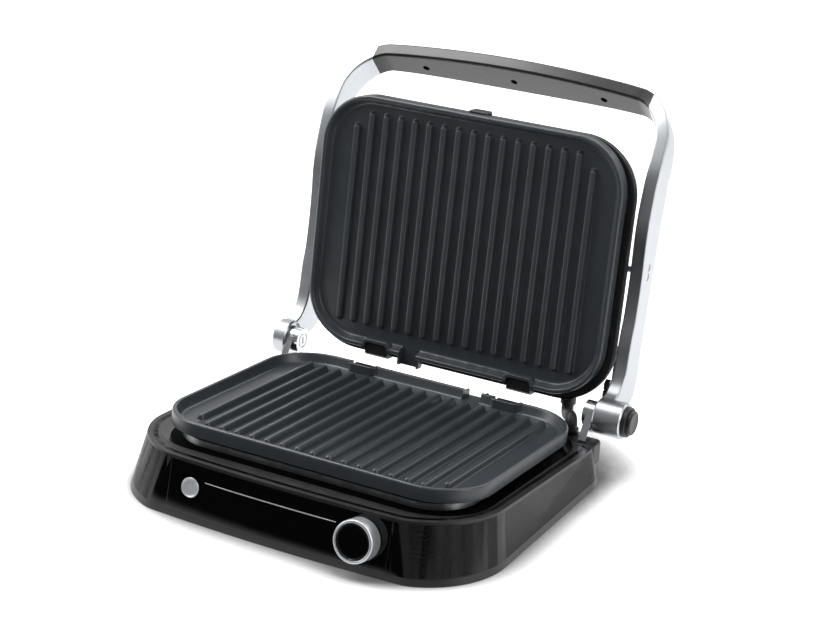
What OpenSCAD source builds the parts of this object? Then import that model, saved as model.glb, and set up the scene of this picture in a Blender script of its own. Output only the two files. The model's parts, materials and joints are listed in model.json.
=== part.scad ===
// Electric indoor contact grill, standing open on a table.
// Millimetres, +Z up, origin on the table at the centre of the four feet.
// X runs across the grill, -Y is the front with the control panel.
// The lid stands open as drawn; joint zero is this pose.

/* [Node] */
// The sub-part that is built; all builds every one of them.

/* [Cooking plates] */
// Ribs on each plate.
rib_count = 17; // [9:2:19]
// Distance from one rib to the next.
rib_pitch = 14.5; // [12:0.5:16]
// Length of the long ribs.
rib_length = 196; // [170:200]
// How much the first and last rib stop short at the free end.
rib_short = 12.8; // [0:0.1:30]
// Height of the ribs over the plate floor.
rib_height = 5; // [3:0.5:6]
// Width of a rib at its foot.
rib_foot = 7.2; // [5:0.1:9]
// Width of a rib at its crown.
rib_crown = 3.2; // [2:0.1:5]
// Width of a plate over its lip.
plate_width = 294; // [280:300]
// Plate rim from the rib ends at the free edge.
free_margin = 15; // [12:18]
// Plate rim from the rib ends at the hinge edge.
hinge_margin = 19; // [16:22]
// Corner radius of the plate rim.
plate_corner = 48; // [30:60]
// Height of the lip over the rib crowns.
lip_rise = 3.6; // [2:0.1:3.7]
// Thickness of the lip.
lip_wall = 4.2; // [3:0.1:6]
// Thickness of the plate floor.
floor_wall = 3; // [2.5:0.1:3.5]
// Width of the pouring spout.
spout_width = 22; // [14:30]
// Middle of the spout from the middle of the plate.
spout_x = 39; // [30:45]
// How far the spout reaches past the hinge edge.
spout_reach = 9; // [5:10]
// Middle of each clip notch from the middle of the plate.
notch_x = 72; // [68:90]
// Width of a clip notch.
notch_width = 24; // [18:28]
// Depth of a clip notch from the rim.
notch_depth = 6; // [4:7]

/* [Stance] */
// Slope of the lower plate down to the rear, degrees.
plate_tilt = 3.74; // [3:0.01:4.5]
// Front rib ends, from the centre of the feet.
plate_y = -92; // [-93:0.5:-91]
// Rib crowns over the table at the front rib ends.
plate_z = 60; // [59:61]
// Hinge axis from the centre of the feet.
hinge_y = 131; // [130:0.5:132]
// Hinge axis over the table.
hinge_z = 52; // [51:0.5:53]
// Turn of the arms from open to closed, degrees.
arm_swing = 97.3; // [96:0.1:98]
// How far the lid levels back on its pivots meanwhile, degrees.
lid_level = 4.57; // [4:0.01:5]
// Gap between the rib crowns when closed.
rib_gap = 7.7; // [7.5:0.1:9]
// Lid pivot along the plate, from its free rib ends.
pivot_along = 98; // [96:100]
// Lid pivot behind the rib crowns of the upper plate.
pivot_back = 30.6; // [29:0.1:32]

/* [Base] */
// Foot of the base past the inner face of each arm.
base_past = 15; // [13.5:0.5:17.5]
// How much each side of the base leans in up to its deck.
base_lean = 9.5; // [6:0.5:12]
// Front of the base at its foot.
base_front = -150; // [-152:-148]
// Rear of the base.
base_rear = 135.8; // [134:0.1:136]
// Front corner radius of the base.
front_corner = 76; // [60:80]
// Rear corner radius of the base.
rear_corner = 44; // [40:50]
// Wall of the base shell.
shell_wall = 3.2; // [2.8:0.1:3.6]
// Underside of the shell over the table.
shell_foot = 6; // [5:7]
// Deck under the rib crowns.
deck_drop = 14; // [13:15]
// Gap between the well opening and the deck's sides.
deck_border = 8; // [6:10]
// Deck in front of the well opening.
deck_front = 21; // [18:24]
// Half width of the control panel.
panel_half = 102; // [98:104]
// Thickness of the control panel.
panel_wall = 1.6; // [1.2:0.1:1.8]
// Feet from the middle, across.
foot_x = 128; // [120:130]
// Feet from the middle, front and rear.
foot_y = 115; // [110:116]
// Radius of a foot.
foot_r = 9; // [7:11]

/* [Controls] */
// Lean of the panel face, degrees.
panel_lean = 12.5; // [12:0.5:13]
// Knob from the middle.
knob_x = 78; // [74:82]
// Knob axis over the table.
knob_z = 27; // [26:28]
// Radius of the knob ring.
knob_r = 17.3; // [15:0.1:18]
// How far the knob stands off the panel.
knob_proud = 14.5; // [10:0.5:16]
// Radius of the push face in the knob.
knob_face_r = 13.4; // [11:0.1:14]
// Travel of the push face.
knob_push = 1.2; // [0.8:0.1:1.5]
// Power button from the middle.
power_x = -80.4; // [-84:0.1:-76]
// Power button over the table.
power_z = 27.6; // [26:0.1:29]
// Radius of the power button.
power_r = 8.2; // [6:0.1:10]
// Lights in the row.
light_count = 53; // [21:2:53]
// First light from the middle.
light_first = -66.5; // [-68:0.5:-60]
// Last light from the middle.
light_last = 54; // [50:0.5:56]
// Lights over the table.
light_z = 34.6; // [34:0.1:35]

/* [Hinge and arms] */
// Gap between the lid frame and each arm.
arm_gap = 1.5; // [1:0.1:3]
// Width of an arm.
arm_width = 12; // [10:13]
// Radius of the hinge barrels.
barrel_r = 16; // [14:16]
// Length of the right barrel.
barrel_long = 25.5; // [23.5:0.5:27.5]
// Length of the left barrel.
barrel_short = 13; // [12.5:0.5:14.5]
// Radius of the hinge posts' eyes.
eye_r = 11.3; // [10:0.1:12]
// Length of an eye.
eye_length = 10.7; // [9.2:0.1:12.2]
// Radius of the hinge pins.
hinge_pin_r = 6; // [5:0.5:7]
// Radius of the release button.
release_r = 10.8; // [9:0.1:11]
// Travel of the release button.
release_travel = 3; // [2:0.5:3.5]
// Radius of the lid pivot pins.
pivot_r = 3; // [2.5:0.5:4]
// Half length of the black grip.
grip_half = 137; // [130:140]
// Grip screws from the middle.
grip_screw_x = 88.7; // [80:0.1:95]

/* [Lid] */
// Lid frame past each side of the plate.
frame_margin = 6; // [4:0.5:6.5]
// Frame under the rib crowns of the upper plate.
frame_drop = 11; // [10:12]
// Thickness of the frame's edge.
frame_edge = 6; // [5:7]
// Wall of the lid cover.
cover_wall = 1; // [0.8:0.1:1.4]

/* [Drip tray] */
// Front edge of the tray.
tray_y0 = 60; // [58:62]
// Rear edge of the tray.
tray_y1 = 97; // [94:98]
// Height of the tray.
tray_height = 13.6; // [12:0.1:14]
// Wall of the tray.
tray_wall = 1.6; // [1.2:0.1:2]

/* [Clearances] */
// Radial clearance of a turning pin in its bore.
run_clear = 0.05; // [0.02:0.01:0.1]
// Clearance round a sliding button or tray.
slide_clear = 0.3; // [0.2:0.05:0.5]
// Gap between parts that turn past one another.
side_clear = 0.3; // [0.2:0.05:0.5]

/* [Hidden] */
$fn = 64;
plate_back = rib_length + hinge_margin;
plate_under = rib_height + floor_wall;
deck_cos = cos(plate_tilt);
deck_sin = sin(plate_tilt);
// The closed pivot lies over the middle of the lower plate.
pivot_up = rib_gap + pivot_back;
shut_y = plate_y + pivot_along * deck_cos + pivot_up * deck_sin - hinge_y;
shut_z = plate_z - pivot_along * deck_sin + pivot_up * deck_cos - hinge_z;
pivot_radius = norm([shut_y, shut_z]);
pivot_angle = atan2(shut_z, shut_y) - arm_swing;
pivot_y = hinge_y + pivot_radius * cos(pivot_angle);
pivot_z = hinge_z + pivot_radius * sin(pivot_angle);
lid_angle = 180 - plate_tilt - (arm_swing - lid_level);
lid_u = rib_length - pivot_along;
lid_y = pivot_y - lid_u * cos(lid_angle) - pivot_back * sin(lid_angle);
lid_z = pivot_z - lid_u * sin(lid_angle) + pivot_back * cos(lid_angle);
// Across: the plate, the lid frame, the arms, then the base.
frame_half = plate_width / 2 + frame_margin;
arm_inner = frame_half + arm_gap;
arm_outer = arm_inner + arm_width;
base_half = arm_inner + base_past;
barrel_right = arm_inner + barrel_long;
barrel_left = arm_inner + barrel_short;
eye_inner = arm_inner - side_clear - eye_length;
pin_start = eye_inner + 2.5;
pin_right = arm_inner + 11.5;
pin_left = arm_inner + 8.5;
pin_end_clear = 2;
release_seat = arm_inner + 16.5;
strap_x0 = arm_inner - 7;
shoulder_half = 13.5;
shoulder_x = base_half - 3.5 - shoulder_half;
deck_wall = 3;
// Where the deck is cut back under the sweep of the open lid.
sweep_half = 140;
sweep_y = 130.4;
base_top = 52;
bow_r = 1667;
bottom_low = 1.5;
bottom_floor = 4;
well_front = -26.7;
well_back = 219.4;
well_half = base_half - base_lean - deck_border;
well_corner = plate_corner + 4;
well_wall = 2.2;
well_flange = 3.4;
well_under = deck_drop + deck_wall;
// Side view of the well floor, rear and front falling to the drain.
floor_line = [[-140, 41.5], [tray_y0 + 4, 22.6], [tray_y1, 22.6], [140, 25.6]];
element_r = 3.25;
element_rows = [20, 73, 126, 179];
element_half = plate_width / 2 - 42;
pan_floor = 20;
pan_half = plate_width / 2 - 11;
pan_front = -9;
pan_back = 205;
rest_x = plate_width / 2 - 3;
stud_x = 60;
stud_y = -12;
catch_half = 9;
catch_deep = 2;
catch_top = 4.5;
hook_top = 0.5;
hook_foot = 4;
hook_clear = 0.4;
tray_low = 6.4;
tray_end = 60;
tray_front = 9.5 - base_half;
sleeve_x = base_half - 37.5;
sleeve_y = 126;
sleeve_r = 5.5;
gland_r = 6.9;
gland_clear = 0.2;
gland_top = 36.2;
sleeve_low = 32.4;
sleeve_rise = 21;
entry_x = frame_half - 38;
entry_h = -14.5;
entry_u = -28.6;
inlet_x = -105;
inlet_z = 13.4;
inlet_neck = 5.4;
screw_r = 1.5;
screw_head_r = 3;
screw_spots = [[base_half - 57.5, -127], [base_half - 14.5, -40], [base_half - 14.5, 36],
  [base_half - 19.5, 112]];
strap_y0 = 106.5;
strap_y1 = 119.5;
strap_foot = 16;
board_back = 13.6;
board_wall = 1.6;
board_face = board_back - board_wall;
board_half = [95, 13];
power_depth = 6;
power_stem_r = 3;
power_travel = 0.8;
power_proud = 1.2;
shaft_r = 3;
bush_r = 4.4;
bush_end = 1.5;
stem_r = 2.5;
knob_gap = 0.8;
hub_r = 6;
hub_low = 2.2;
shaft_end = 6;
web_low = 8.5;
web_top = 10.5;
stem_end = 7.3;

// Places.
module at_plate() translate([0, plate_y, plate_z]) rotate([-plate_tilt, 0, 0]) children();
module at_lid() translate([0, lid_y, lid_z]) rotate([lid_angle, 0, 0]) children();
module at_hinge(x) translate([x, hinge_y, hinge_z]) rotate([0, 90, 0]) children();
module at_pivot(x) translate([x, pivot_y, pivot_z]) rotate([0, 90, 0]) children();
module side_view(x0, x1) translate([x0, 0, 0]) rotate([90, 0, 90]) linear_extrude(x1 - x0) children();
module both() {
  children();
  mirror([1, 0, 0]) children();
}
// Local +Z looks out of the panel, square to its face.
module at_panel(x, z)
  translate([x, panel_face(x, z), z]) rotate([90 - panel_lean, 0, 0]) children();
function bow(x) = x * x / (2 * bow_r);
function panel_face(x, z) = base_front + bow(x) + (z - shell_foot) * tan(panel_lean);

// Flat outline with round corners, true arcs.
module pad(half, y0, y1, r0, r1) {
  translate([-half, y0 + r0]) square([2 * half, y1 - r1 - y0 - r0]);
  translate([-half + r0, y0]) square([2 * (half - r0), r0 + 1]);
  translate([-half + r1, y1 - r1 - 1]) square([2 * (half - r1), r1 + 1]);
  for (side = [-1, 1]) {
    translate([side * (half - r0), y0 + r0]) circle(r0);
    translate([side * (half - r1), y1 - r1]) circle(r1);
  }
}

// Outline of the base at a height, its front bowed forward.
module base_outline(inset, z) {
  rise = z - shell_foot;
  half = base_half - inset - base_lean * rise / (base_top - shell_foot);
  y0 = base_front + inset + rise * tan(panel_lean);
  intersection() {
    pad(half, y0, base_rear - inset, front_corner - inset, rear_corner - inset);
    translate([0, y0 + bow_r]) circle(bow_r, $fn = 900);
  }
}

// The base as one block, cut off parallel to the plate.
module base_form(inset, drop, low) difference() {
  hull() {
    translate([0, 0, low]) linear_extrude(0.01) base_outline(inset, low);
    translate([0, 0, base_top]) linear_extrude(0.01) base_outline(inset, base_top);
  }
  at_plate() translate([-200, -200, -drop]) cube([400, 500, 100]);
  side_view(-sweep_half, sweep_half) translate([0, drop > deck_drop ? -deck_wall : 0]) polygon(
    [[sweep_y, 40], [sweep_y, 32], [base_rear + 1, 32 - (base_rear + 1 - sweep_y) * 2.1], [180, 20],
    [180, 40]]);
}

module well_prism(grow, low, high) at_plate() translate([0, 0, low]) linear_extrude(high - low)
  pad(well_half + grow, well_front - grow, well_back + grow, well_corner + grow, well_corner + grow);

module over_floor(lift) side_view(-180, 180) polygon(concat(
  [for (p = floor_line) [p[0], p[1] + lift]], [[140, 100], [-140, 100]]));

// The skin of the control panel's recess, as deep as the given wall.
module panel_skin(half, wall, drop) difference() {
  intersection() {
    base_form(0, drop, shell_foot);
    translate([-half, -170, 0]) cube([2 * half, 60, 60]);
  }
  translate([0, wall, 0]) base_form(0, 0, shell_foot - 1);
}

function board_at(x) = board_face - bow(x) * cos(panel_lean);
function light_x(i) = light_first + i * (light_last - light_first) / (light_count - 1);

// Base.
module base_shell() color("#141416") difference() {
  union() {
    difference() {
      base_form(0, deck_drop, shell_foot);
      base_form(shell_wall, well_under, shell_foot - 1);
    }
    difference() {
      intersection() {
        base_form(shell_wall - 0.1, well_under - 0.1, shell_foot);
        union() {
          for (spot = screw_spots) both() translate([spot[0], spot[1], 0]) cylinder(r = 3.6, h = 60);
          both() translate([base_half - 25.5, 103, 10]) cube([18, 20, 40]);
          for (x = [-85, -25, 30]) at_panel(0, 25) translate([x, -9, -board_face])
            cylinder(r = 2.5, h = board_face);
        }
      }
      well_prism(well_flange, -60, -well_under);
    }
  }
  well_prism(0, -40, 10);
  panel_skin(panel_half, panel_wall, deck_drop + 2.5);
  at_panel(knob_x, knob_z) translate([0, 0, -8]) cylinder(r = bush_r + 0.1, h = 12);
  at_panel(power_x, power_z) translate([0, 0, -8]) cylinder(r = power_r + slide_clear, h = 12);
  translate([light_first - 1.5, -150, light_z - 1]) cube([light_last - light_first + 3, 20, 2]);
  for (spot = screw_spots) both() translate([spot[0], spot[1], 0]) cylinder(r = screw_r, h = 14);
  both() translate([strap_x0, strap_y0, strap_foot])
    cube([arm_inner - side_clear - strap_x0, strap_y1 - strap_y0, 40]);
  translate([tray_front - 40, tray_y0 - slide_clear, 0]) cube([60,
    tray_y1 - tray_y0 + 2 * slide_clear, tray_low + tray_height + slide_clear]);
  translate([sleeve_x, sleeve_y, 20]) cylinder(r = sleeve_r - 1.5, h = 30);
  translate([inlet_x, base_rear + 1, inlet_z]) rotate([90, 0, 0]) cylinder(r = inlet_neck, h = 8);
}

module base_well() color("#1b1b1d") difference() {
  union() {
    intersection() {
      well_prism(well_wall, -60, -well_under);
      over_floor(-1.8);
    }
    well_prism(well_flange, -well_under - 1.6, -well_under);
  }
  difference() {
    intersection() {
      well_prism(0, -60, 0);
      over_floor(0);
    }
    at_plate() {
      both() for (y = [30, 150]) translate([rest_x - 3, y, -60]) cube([6, 16, 60 - plate_under]);
      both() for (y = [20, 170]) translate([110, y, -60]) cylinder(r = 4, h = 60 - pan_floor - 1);
      both() translate([stud_x, stud_y, -60]) cylinder(r = 1.8, h = 60 - plate_under + 1.4);
    }
  }
  translate([-20, tray_y0 + 8, 10]) cube([40, 22, 20]);
  translate([sleeve_x, sleeve_y, 20]) cylinder(r = sleeve_r - 1.5, h = 30);
}

module base_bottom() color("#2a2a2c") difference() {
  union() {
    difference() {
      translate([0, 0, bottom_low]) linear_extrude(shell_foot - bottom_low)
        base_outline(1, shell_foot);
      translate([0, 0, bottom_floor]) linear_extrude(9) base_outline(5.5, shell_foot);
    }
    for (spot = screw_spots) both() translate([spot[0], spot[1], bottom_low])
      cylinder(r = 4.6, h = shell_foot - bottom_low);
    for (y = [tray_y0 + 2, tray_y1 - 5]) translate([-150, y, bottom_floor])
      cube([tray_end + 145, 3, tray_low - 0.2 - bottom_floor]);
    translate([tray_end + slide_clear, tray_y0 + 8, bottom_floor]) cube([4, 20, 12]);
  }
  both() for (y = [-foot_y, foot_y]) translate([foot_x, y, 0]) cylinder(r = foot_r, h = 2.4);
  for (spot = screw_spots) both() translate([spot[0], spot[1], 0]) {
    cylinder(r = screw_head_r, h = bottom_floor);
    cylinder(r = screw_r, h = 20);
  }
  for (i = [-5 : 5]) translate([i * 12 - 2, -60, 0]) cube([4, 60, 10]);
}

module front_panel() color("#0c0c0e") difference() {
  panel_skin(panel_half - 0.15, panel_wall, deck_drop + 2.7);
  at_panel(knob_x, knob_z) translate([0, 0, -8]) cylinder(r = bush_r + 0.1, h = 12);
  at_panel(power_x, power_z) translate([0, 0, -8]) cylinder(r = power_r + slide_clear, h = 12);
  for (i = [0 : light_count - 1]) translate([light_x(i), -130, light_z]) rotate([90, 0, 0])
    cylinder(r = 0.55, h = 30, $fn = 16);
}

module light_guide() color("#f2f4f6") {
  intersection() {
    base_form(0, 10, shell_foot);
    for (i = [0 : light_count - 1]) translate([light_x(i), -136, light_z]) rotate([90, 0, 0])
      cylinder(r = 0.55, h = 20, $fn = 16);
  }
  translate([light_first - 1.2, -138.5, light_z - 0.9]) cube([light_last - light_first + 2.4, 3, 1.8]);
}

module control_board() color("#1f5a3a") difference() {
  at_panel(0, 25) translate([-board_half[0], -board_half[1], -board_back])
    cube([2 * board_half[0], 2 * board_half[1], board_wall]);
  at_panel(-60, 20) translate([0, 0, -30]) cylinder(r = 1.2, h = 30);
}

module encoder() color("#8d9094") at_panel(knob_x, knob_z) difference() {
  union() {
    translate([-7, -7, -board_at(knob_x)]) cube([14, 14, board_at(knob_x) - 4]);
    translate([0, 0, -board_at(knob_x)]) cylinder(r = bush_r, h = board_at(knob_x) + bush_end);
  }
  translate([0, 0, -10]) cylinder(r = shaft_r + run_clear, h = 20);
}

module power_switch() color("#202224") at_panel(power_x, power_z)
  translate([-5, -5, -board_at(power_x)])
  cube([10, 10, board_at(power_x) - power_depth - power_travel - 0.1]);

// Round head, its stem reaching back to the switch.
module power_button() color("#c9ccd0") at_panel(power_x, power_z) {
  translate([0, 0, -2.6]) cylinder(r = power_r, h = 2.6 + power_proud);
  translate([0, 0, -power_depth]) cylinder(r = power_stem_r, h = power_depth);
}

module knob_shaft() color("#b9bcc0") at_panel(knob_x, knob_z)
  translate([0, 0, -9]) cylinder(r = shaft_r, h = 9 + shaft_end);

module knob_ring() color("#c4c7cb") at_panel(knob_x, knob_z) difference() {
  translate([0, 0, knob_gap]) cylinder(r = knob_r, h = knob_proud - knob_gap);
  difference() {
    cylinder(r = knob_r - 2, h = web_low);
    cylinder(r = hub_r, h = web_low + 1);
  }
  cylinder(r = shaft_r, h = shaft_end);
  cylinder(r = bush_r + 0.6, h = hub_low);
  translate([0, 0, 1]) cylinder(r = stem_r + run_clear, h = web_top);
  translate([0, 0, web_top]) cylinder(r = knob_face_r + 0.15, h = 9);
}

module knob_cap() color("#0f0f11") at_panel(knob_x, knob_z) {
  translate([0, 0, web_top + knob_push + 0.2]) cylinder(r = knob_face_r, h = 2);
  translate([0, 0, stem_end]) cylinder(r = stem_r, h = 5);
}

module foot(x, y) color("#1a1a1a") translate([x, y, 0]) cylinder(r = foot_r, h = 2.4);
module foot_front_left() foot(-foot_x, -foot_y);
module foot_front_right() foot(foot_x, -foot_y);
module foot_rear_left() foot(-foot_x, foot_y);
module foot_rear_right() foot(foot_x, foot_y);

module bottom_screws() color("#7d8084") for (spot = screw_spots) both()
  translate([spot[0], spot[1], 0]) {
    translate([0, 0, 2.2]) cylinder(r = screw_head_r, h = bottom_floor - 2.2);
    translate([0, 0, bottom_floor - 0.5]) cylinder(r = screw_r, h = 8);
  }

module thermostat() color("#c8b890") difference() {
  translate([-60, 20, 15]) {
    cylinder(r = 8, h = 14);
    translate([-12, -4, 2]) cube([24, 8, 3]);
  }
  over_floor(-1.8);
}

module cord_gland() color("#1c1c1e") translate([inlet_x, base_rear + 1.2, inlet_z])
  rotate([90, 0, 0]) difference() {
    union() {
      cylinder(r = inlet_neck + 1.2, h = 1.2);
      cylinder(r = inlet_neck, h = 9);
    }
    translate([0, 0, -1]) cylinder(r = 3.6, h = 12);
  }

module sleeve_gland() color("#161618") translate([sleeve_x, sleeve_y, 0]) difference() {
  translate([0, 0, 25]) cylinder(r = gland_r, h = gland_top - 25);
  translate([0, 0, 20]) cylinder(r = sleeve_r + gland_clear, h = 30);
  translate([-sleeve_x, -sleeve_y, 0]) at_plate() translate([0, 0, -60 - deck_drop])
    cube([400, 400, 60]);
}

module drip_tray() color("#232326") difference() {
  intersection() {
    base_form(0, deck_drop, shell_foot - 1);
    translate([tray_front - 20, tray_y0, tray_low])
      cube([tray_end - tray_front + 20, tray_y1 - tray_y0, tray_height]);
  }
  translate([tray_front, tray_y0 + tray_wall, tray_low + tray_wall])
    cube([tray_end - tray_wall - tray_front, tray_y1 - tray_y0 - 2 * tray_wall, 40]);
  translate([tray_front - 12, (tray_y0 + tray_y1) / 2, tray_low - 5]) rotate([0, 90, 0])
    cylinder(r = 9, h = 10);
}

// Cooking plates, one casting used twice: its lip, notches, spout and ribs.
module plate_outline(inset) pad(plate_width / 2 - inset, inset - free_margin, plate_back - inset,
  plate_corner - inset, plate_corner - inset);

module rib(y0, y1) {
  half = [[0, 0], [rib_foot / 2, 0], [rib_crown / 2 + 0.7, rib_height - 1.2],
    [rib_crown / 2, rib_height - 0.3], [rib_crown / 2 - 0.7, rib_height], [0, rib_height]];
  for (y = [y0 + rib_foot / 2, y1 - rib_foot / 2]) translate([0, y, -rib_height])
    rotate_extrude($fn = 32) polygon(half);
  translate([0, y1 - rib_foot / 2, -rib_height]) rotate([90, 0, 0])
    linear_extrude(y1 - y0 - rib_foot) {
      polygon(half);
      mirror([1, 0]) polygon(half);
    }
}

module notch(grow, low, high) both() translate([notch_x, plate_back, low])
  linear_extrude(high - low) pad(notch_width / 2 + grow, -notch_depth - grow, 12, 4 + grow, 1);

module plate_casting() {
  difference() {
    union() {
      difference() {
        translate([0, 0, -plate_under]) linear_extrude(plate_under + lip_rise) plate_outline(0);
        hull() {
          translate([0, 0, -rib_height]) linear_extrude(0.01) plate_outline(lip_wall + 3);
          translate([0, 0, lip_rise]) linear_extrude(0.01) plate_outline(lip_wall - 0.8);
        }
      }
      intersection() {
        notch(3, -plate_under, lip_rise);
        translate([0, 0, -plate_under]) linear_extrude(20) plate_outline(0);
      }
      translate([spout_x - spout_width / 2, plate_back - 3, -plate_under])
        cube([spout_width, 3 + spout_reach, plate_under + 1]);
    }
    notch(0, -hook_foot, 20);
    translate([spout_x - spout_width / 2 + 2.2, plate_back - lip_wall - 4, -rib_height])
      cube([spout_width - 4.4, lip_wall + 8 + spout_reach, 20]);
    both() translate([stud_x, stud_y, -plate_under - 1]) cylinder(r = 2.1, h = 2.6, $fn = 32);
    translate([-catch_half, -free_margin - 1, -plate_under - 1])
      cube([2 * catch_half, catch_deep + 1, plate_under + 1 - catch_top]);
  }
  for (i = [0 : rib_count - 1]) {
    outer = (i == 0 || i == rib_count - 1);
    translate([(i - (rib_count - 1) / 2) * rib_pitch, 0, 0]) rib(outer ? rib_short : 0, rib_length);
  }
}

// The heater's rows lie against the underside of the plate.
module heater() {
  turn = (element_rows[1] - element_rows[0]) / 2;
  translate([0, 0, -plate_under - element_r]) {
    for (y = element_rows) translate([-element_half, y, 0]) rotate([0, 90, 0])
      cylinder(r = element_r, h = 2 * element_half, $fn = 32);
    for (i = [0 : 2]) translate([i == 1 ? -element_half : element_half, element_rows[i] + turn, 0])
      rotate([0, 0, i == 1 ? 90 : -90]) rotate_extrude(angle = 180) translate([turn, 0])
        circle(element_r, $fn = 32);
    for (y = [element_rows[0], element_rows[3]]) translate([-element_half - 14, y, 0])
      rotate([0, 90, 0]) cylinder(r = element_r, h = 15, $fn = 32);
    for (y = [element_rows[0], element_rows[3]]) translate([-element_half - 22, y, 0])
      rotate([0, 90, 0]) cylinder(r = 1.4, h = 9, $fn = 24);
  }
}

module heat_pan() difference() {
  union() {
    difference() {
      translate([0, 0, -pan_floor - 1]) linear_extrude(pan_floor - 11)
        pad(pan_half, pan_front, pan_back, 40, 40);
      translate([0, 0, -pan_floor]) linear_extrude(20)
        pad(pan_half - 1, pan_front + 1, pan_back - 1, 39, 39);
    }
    for (x = [-60, 60], y = element_rows) translate([x - 2, y - 5, -pan_floor])
      cube([4, 10, pan_floor - plate_under - element_r - 1.5]);
  }
  heater();
}

module hook(low) intersection() {
  both() translate([notch_x - notch_width / 2, 0, 0]) rotate([90, 0, 90])
    linear_extrude(notch_width) translate([plate_back, 0]) polygon([
      [-notch_depth, -hook_foot], [-notch_depth, hook_top - 1.6], [2 - notch_depth, hook_top],
      [5, hook_top], [7, -2], [7, -low], [0.3, -low], [0.3, -hook_foot]]);
  notch(-hook_clear, -low - 1, hook_top + 1);
}

module lower_plate() color("#2b2d30") at_plate() plate_casting();
module lower_element() color("#6f7276") at_plate() heater();
module lower_pan() color("#b4b7ba") at_plate() heat_pan();
module lower_clips() color("#161618") at_plate() hook(deck_drop);

// Hinge: eyes on the base, pins, barrels on the arms.
module hinge_post() difference() {
  union() {
    at_hinge(eye_inner) cylinder(r = eye_r, h = arm_inner - side_clear - eye_inner);
    side_view(strap_x0, arm_inner - side_clear) polygon([[strap_y0, strap_foot],
      [strap_y1, strap_foot], [strap_y1, 35], [124, 38.5], [131, 41], [131, 60], [121, 58],
      [strap_y0, 36]]);
  }
  at_hinge(pin_start) cylinder(r = hinge_pin_r, h = pin_right - pin_start);
  at_hinge(eye_inner - 1) difference() {
    cylinder(r = 6.9, h = 1.6);
    cylinder(r = 5.9, h = 2);
  }
  at_hinge(eye_inner - 1) translate([-3.2, -0.9, 0]) cube([6.4, 1.8, 2]);
}
module hinge_post_left() color("#b9bcc0") mirror([1, 0, 0]) hinge_post();
module hinge_post_right() color("#b9bcc0") hinge_post();

module shoulder() difference() {
  translate([shoulder_x, 0, 10]) linear_extrude(24) pad(shoulder_half, 100, 126.5, 6, 6);
  base_form(0, deck_drop, 0);
  well_prism(0, -40, 20);
  translate([strap_x0, strap_y0, 0])
    cube([arm_inner - side_clear - strap_x0, strap_y1 - strap_y0, 60]);
}
module shoulder_left() color("#1a1a1c") mirror([1, 0, 0]) shoulder();
module shoulder_right() color("#1a1a1c") shoulder();
module hinge_pin(end) color("#8f9296") at_hinge(pin_start) cylinder(r = hinge_pin_r, h = end - pin_start);
module hinge_pin_left() mirror([1, 0, 0]) hinge_pin(pin_left);
module hinge_pin_right() hinge_pin(pin_right);

// One skin over a row of equal sections, capped at both ends.
module skin(rows) {
  n = len(rows[0]);
  m = len(rows);
  polyhedron([for (row = rows) each row], concat(
    [[for (k = [0 : n - 1]) k]],
    [for (i = [0 : m - 2], k = [0 : n - 1])
      [i * n + k, (i + 1) * n + k, (i + 1) * n + (k + 1) % n, i * n + (k + 1) % n]],
    [[for (k = [n - 1 : -1 : 0]) (m - 1) * n + k]]));
}

// Heat-proof sleeve for the lid's wires, from the deck up into the lid.
function lid_point(x, u, w) = [x, lid_y + u * cos(lid_angle) - w * sin(lid_angle),
  lid_z + u * sin(lid_angle) + w * cos(lid_angle)];
sleeve_line = [[sleeve_x, sleeve_y, gland_top + 0.3], [sleeve_x, sleeve_y, gland_top + sleeve_rise],
  lid_point(entry_x, entry_u - 20, entry_h), lid_point(entry_x, entry_u - 0.3, entry_h)];
function bezier(p, t) = (1 - t) ^ 3 * p[0] + 3 * (1 - t) ^ 2 * t * p[1]
  + 3 * (1 - t) * t ^ 2 * p[2] + t ^ 3 * p[3];
function heading(p, t) = let(v = (1 - t) ^ 2 * (p[1] - p[0]) + 2 * (1 - t) * t * (p[2] - p[1])
  + t ^ 2 * (p[3] - p[2])) v / norm(v);
function sleeve_ring(c, v) = let(b = cross(v, [1, 0, 0]) / norm(cross(v, [1, 0, 0])),
  a = cross(b, v)) [for (k = [0 : 15]) c + sleeve_r * (cos(k * 22.5) * a + sin(k * 22.5) * b)];
module wire_sleeve() color("#1d1d1f") skin(concat(
  [sleeve_ring([sleeve_x, sleeve_y, sleeve_low], [0, 0, 1])],
  [for (i = [0 : 16]) sleeve_ring(bezier(sleeve_line, i / 16), heading(sleeve_line, i / 16))],
  [sleeve_ring(lid_point(entry_x, frame_low - 0.3, entry_h), [0, cos(lid_angle), sin(lid_angle)])]));

// Arms: flat blades from the barrels up, one bar bent in over the grip.
bar_t = [0, sin(46.5), cos(46.5)];
bar_d = [0, cos(46.5), -sin(46.5)];
// Front and back edge of the arm, side view, from the blade up to the bend.
arm_edges = [[[167.9, 130.9], [194.7, 131.9]], [[172.3, 157], [198.6, 154.5]],
  [[174.6, 180], [202.4, 176]], [[175.9, 200], [205.6, 196]], [[178.6, 218], [209.6, 213.5]],
  [[183, 233.8], [213, 228]], [[187.5, 247], [216, 240.5]], [[193.5, 260], [220.5, 250.5]]];
// Round the corner: angle, front and back of the bar across the slope.
arm_turns = [[15, -60.5, -33], [30, -62.5, -34], [42, -62.8, -34.8], [54, -62.5, -35.4],
  [66, -62.3, -35.8], [78, -62.6, -35.8], [90, -63.2, -35.2]];
// Along the grip: half way out, front and back of the bar across the slope.
grip_spans = [[100, -64.2, -34.5], [75, -65.5, -33.6], [50, -66.5, -32.6], [25, -67.2, -31.9],
  [0, -67.4, -31.7]];
turn_x = arm_inner - 34.5;
turn_t = 328;
turn_out = [arm_inner + arm_width - turn_x, 64];
bar_wall = [arm_width, 13.3];
grip_top = 396;
grip_sag = 2.5;
grip_side = -47.8;

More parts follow.
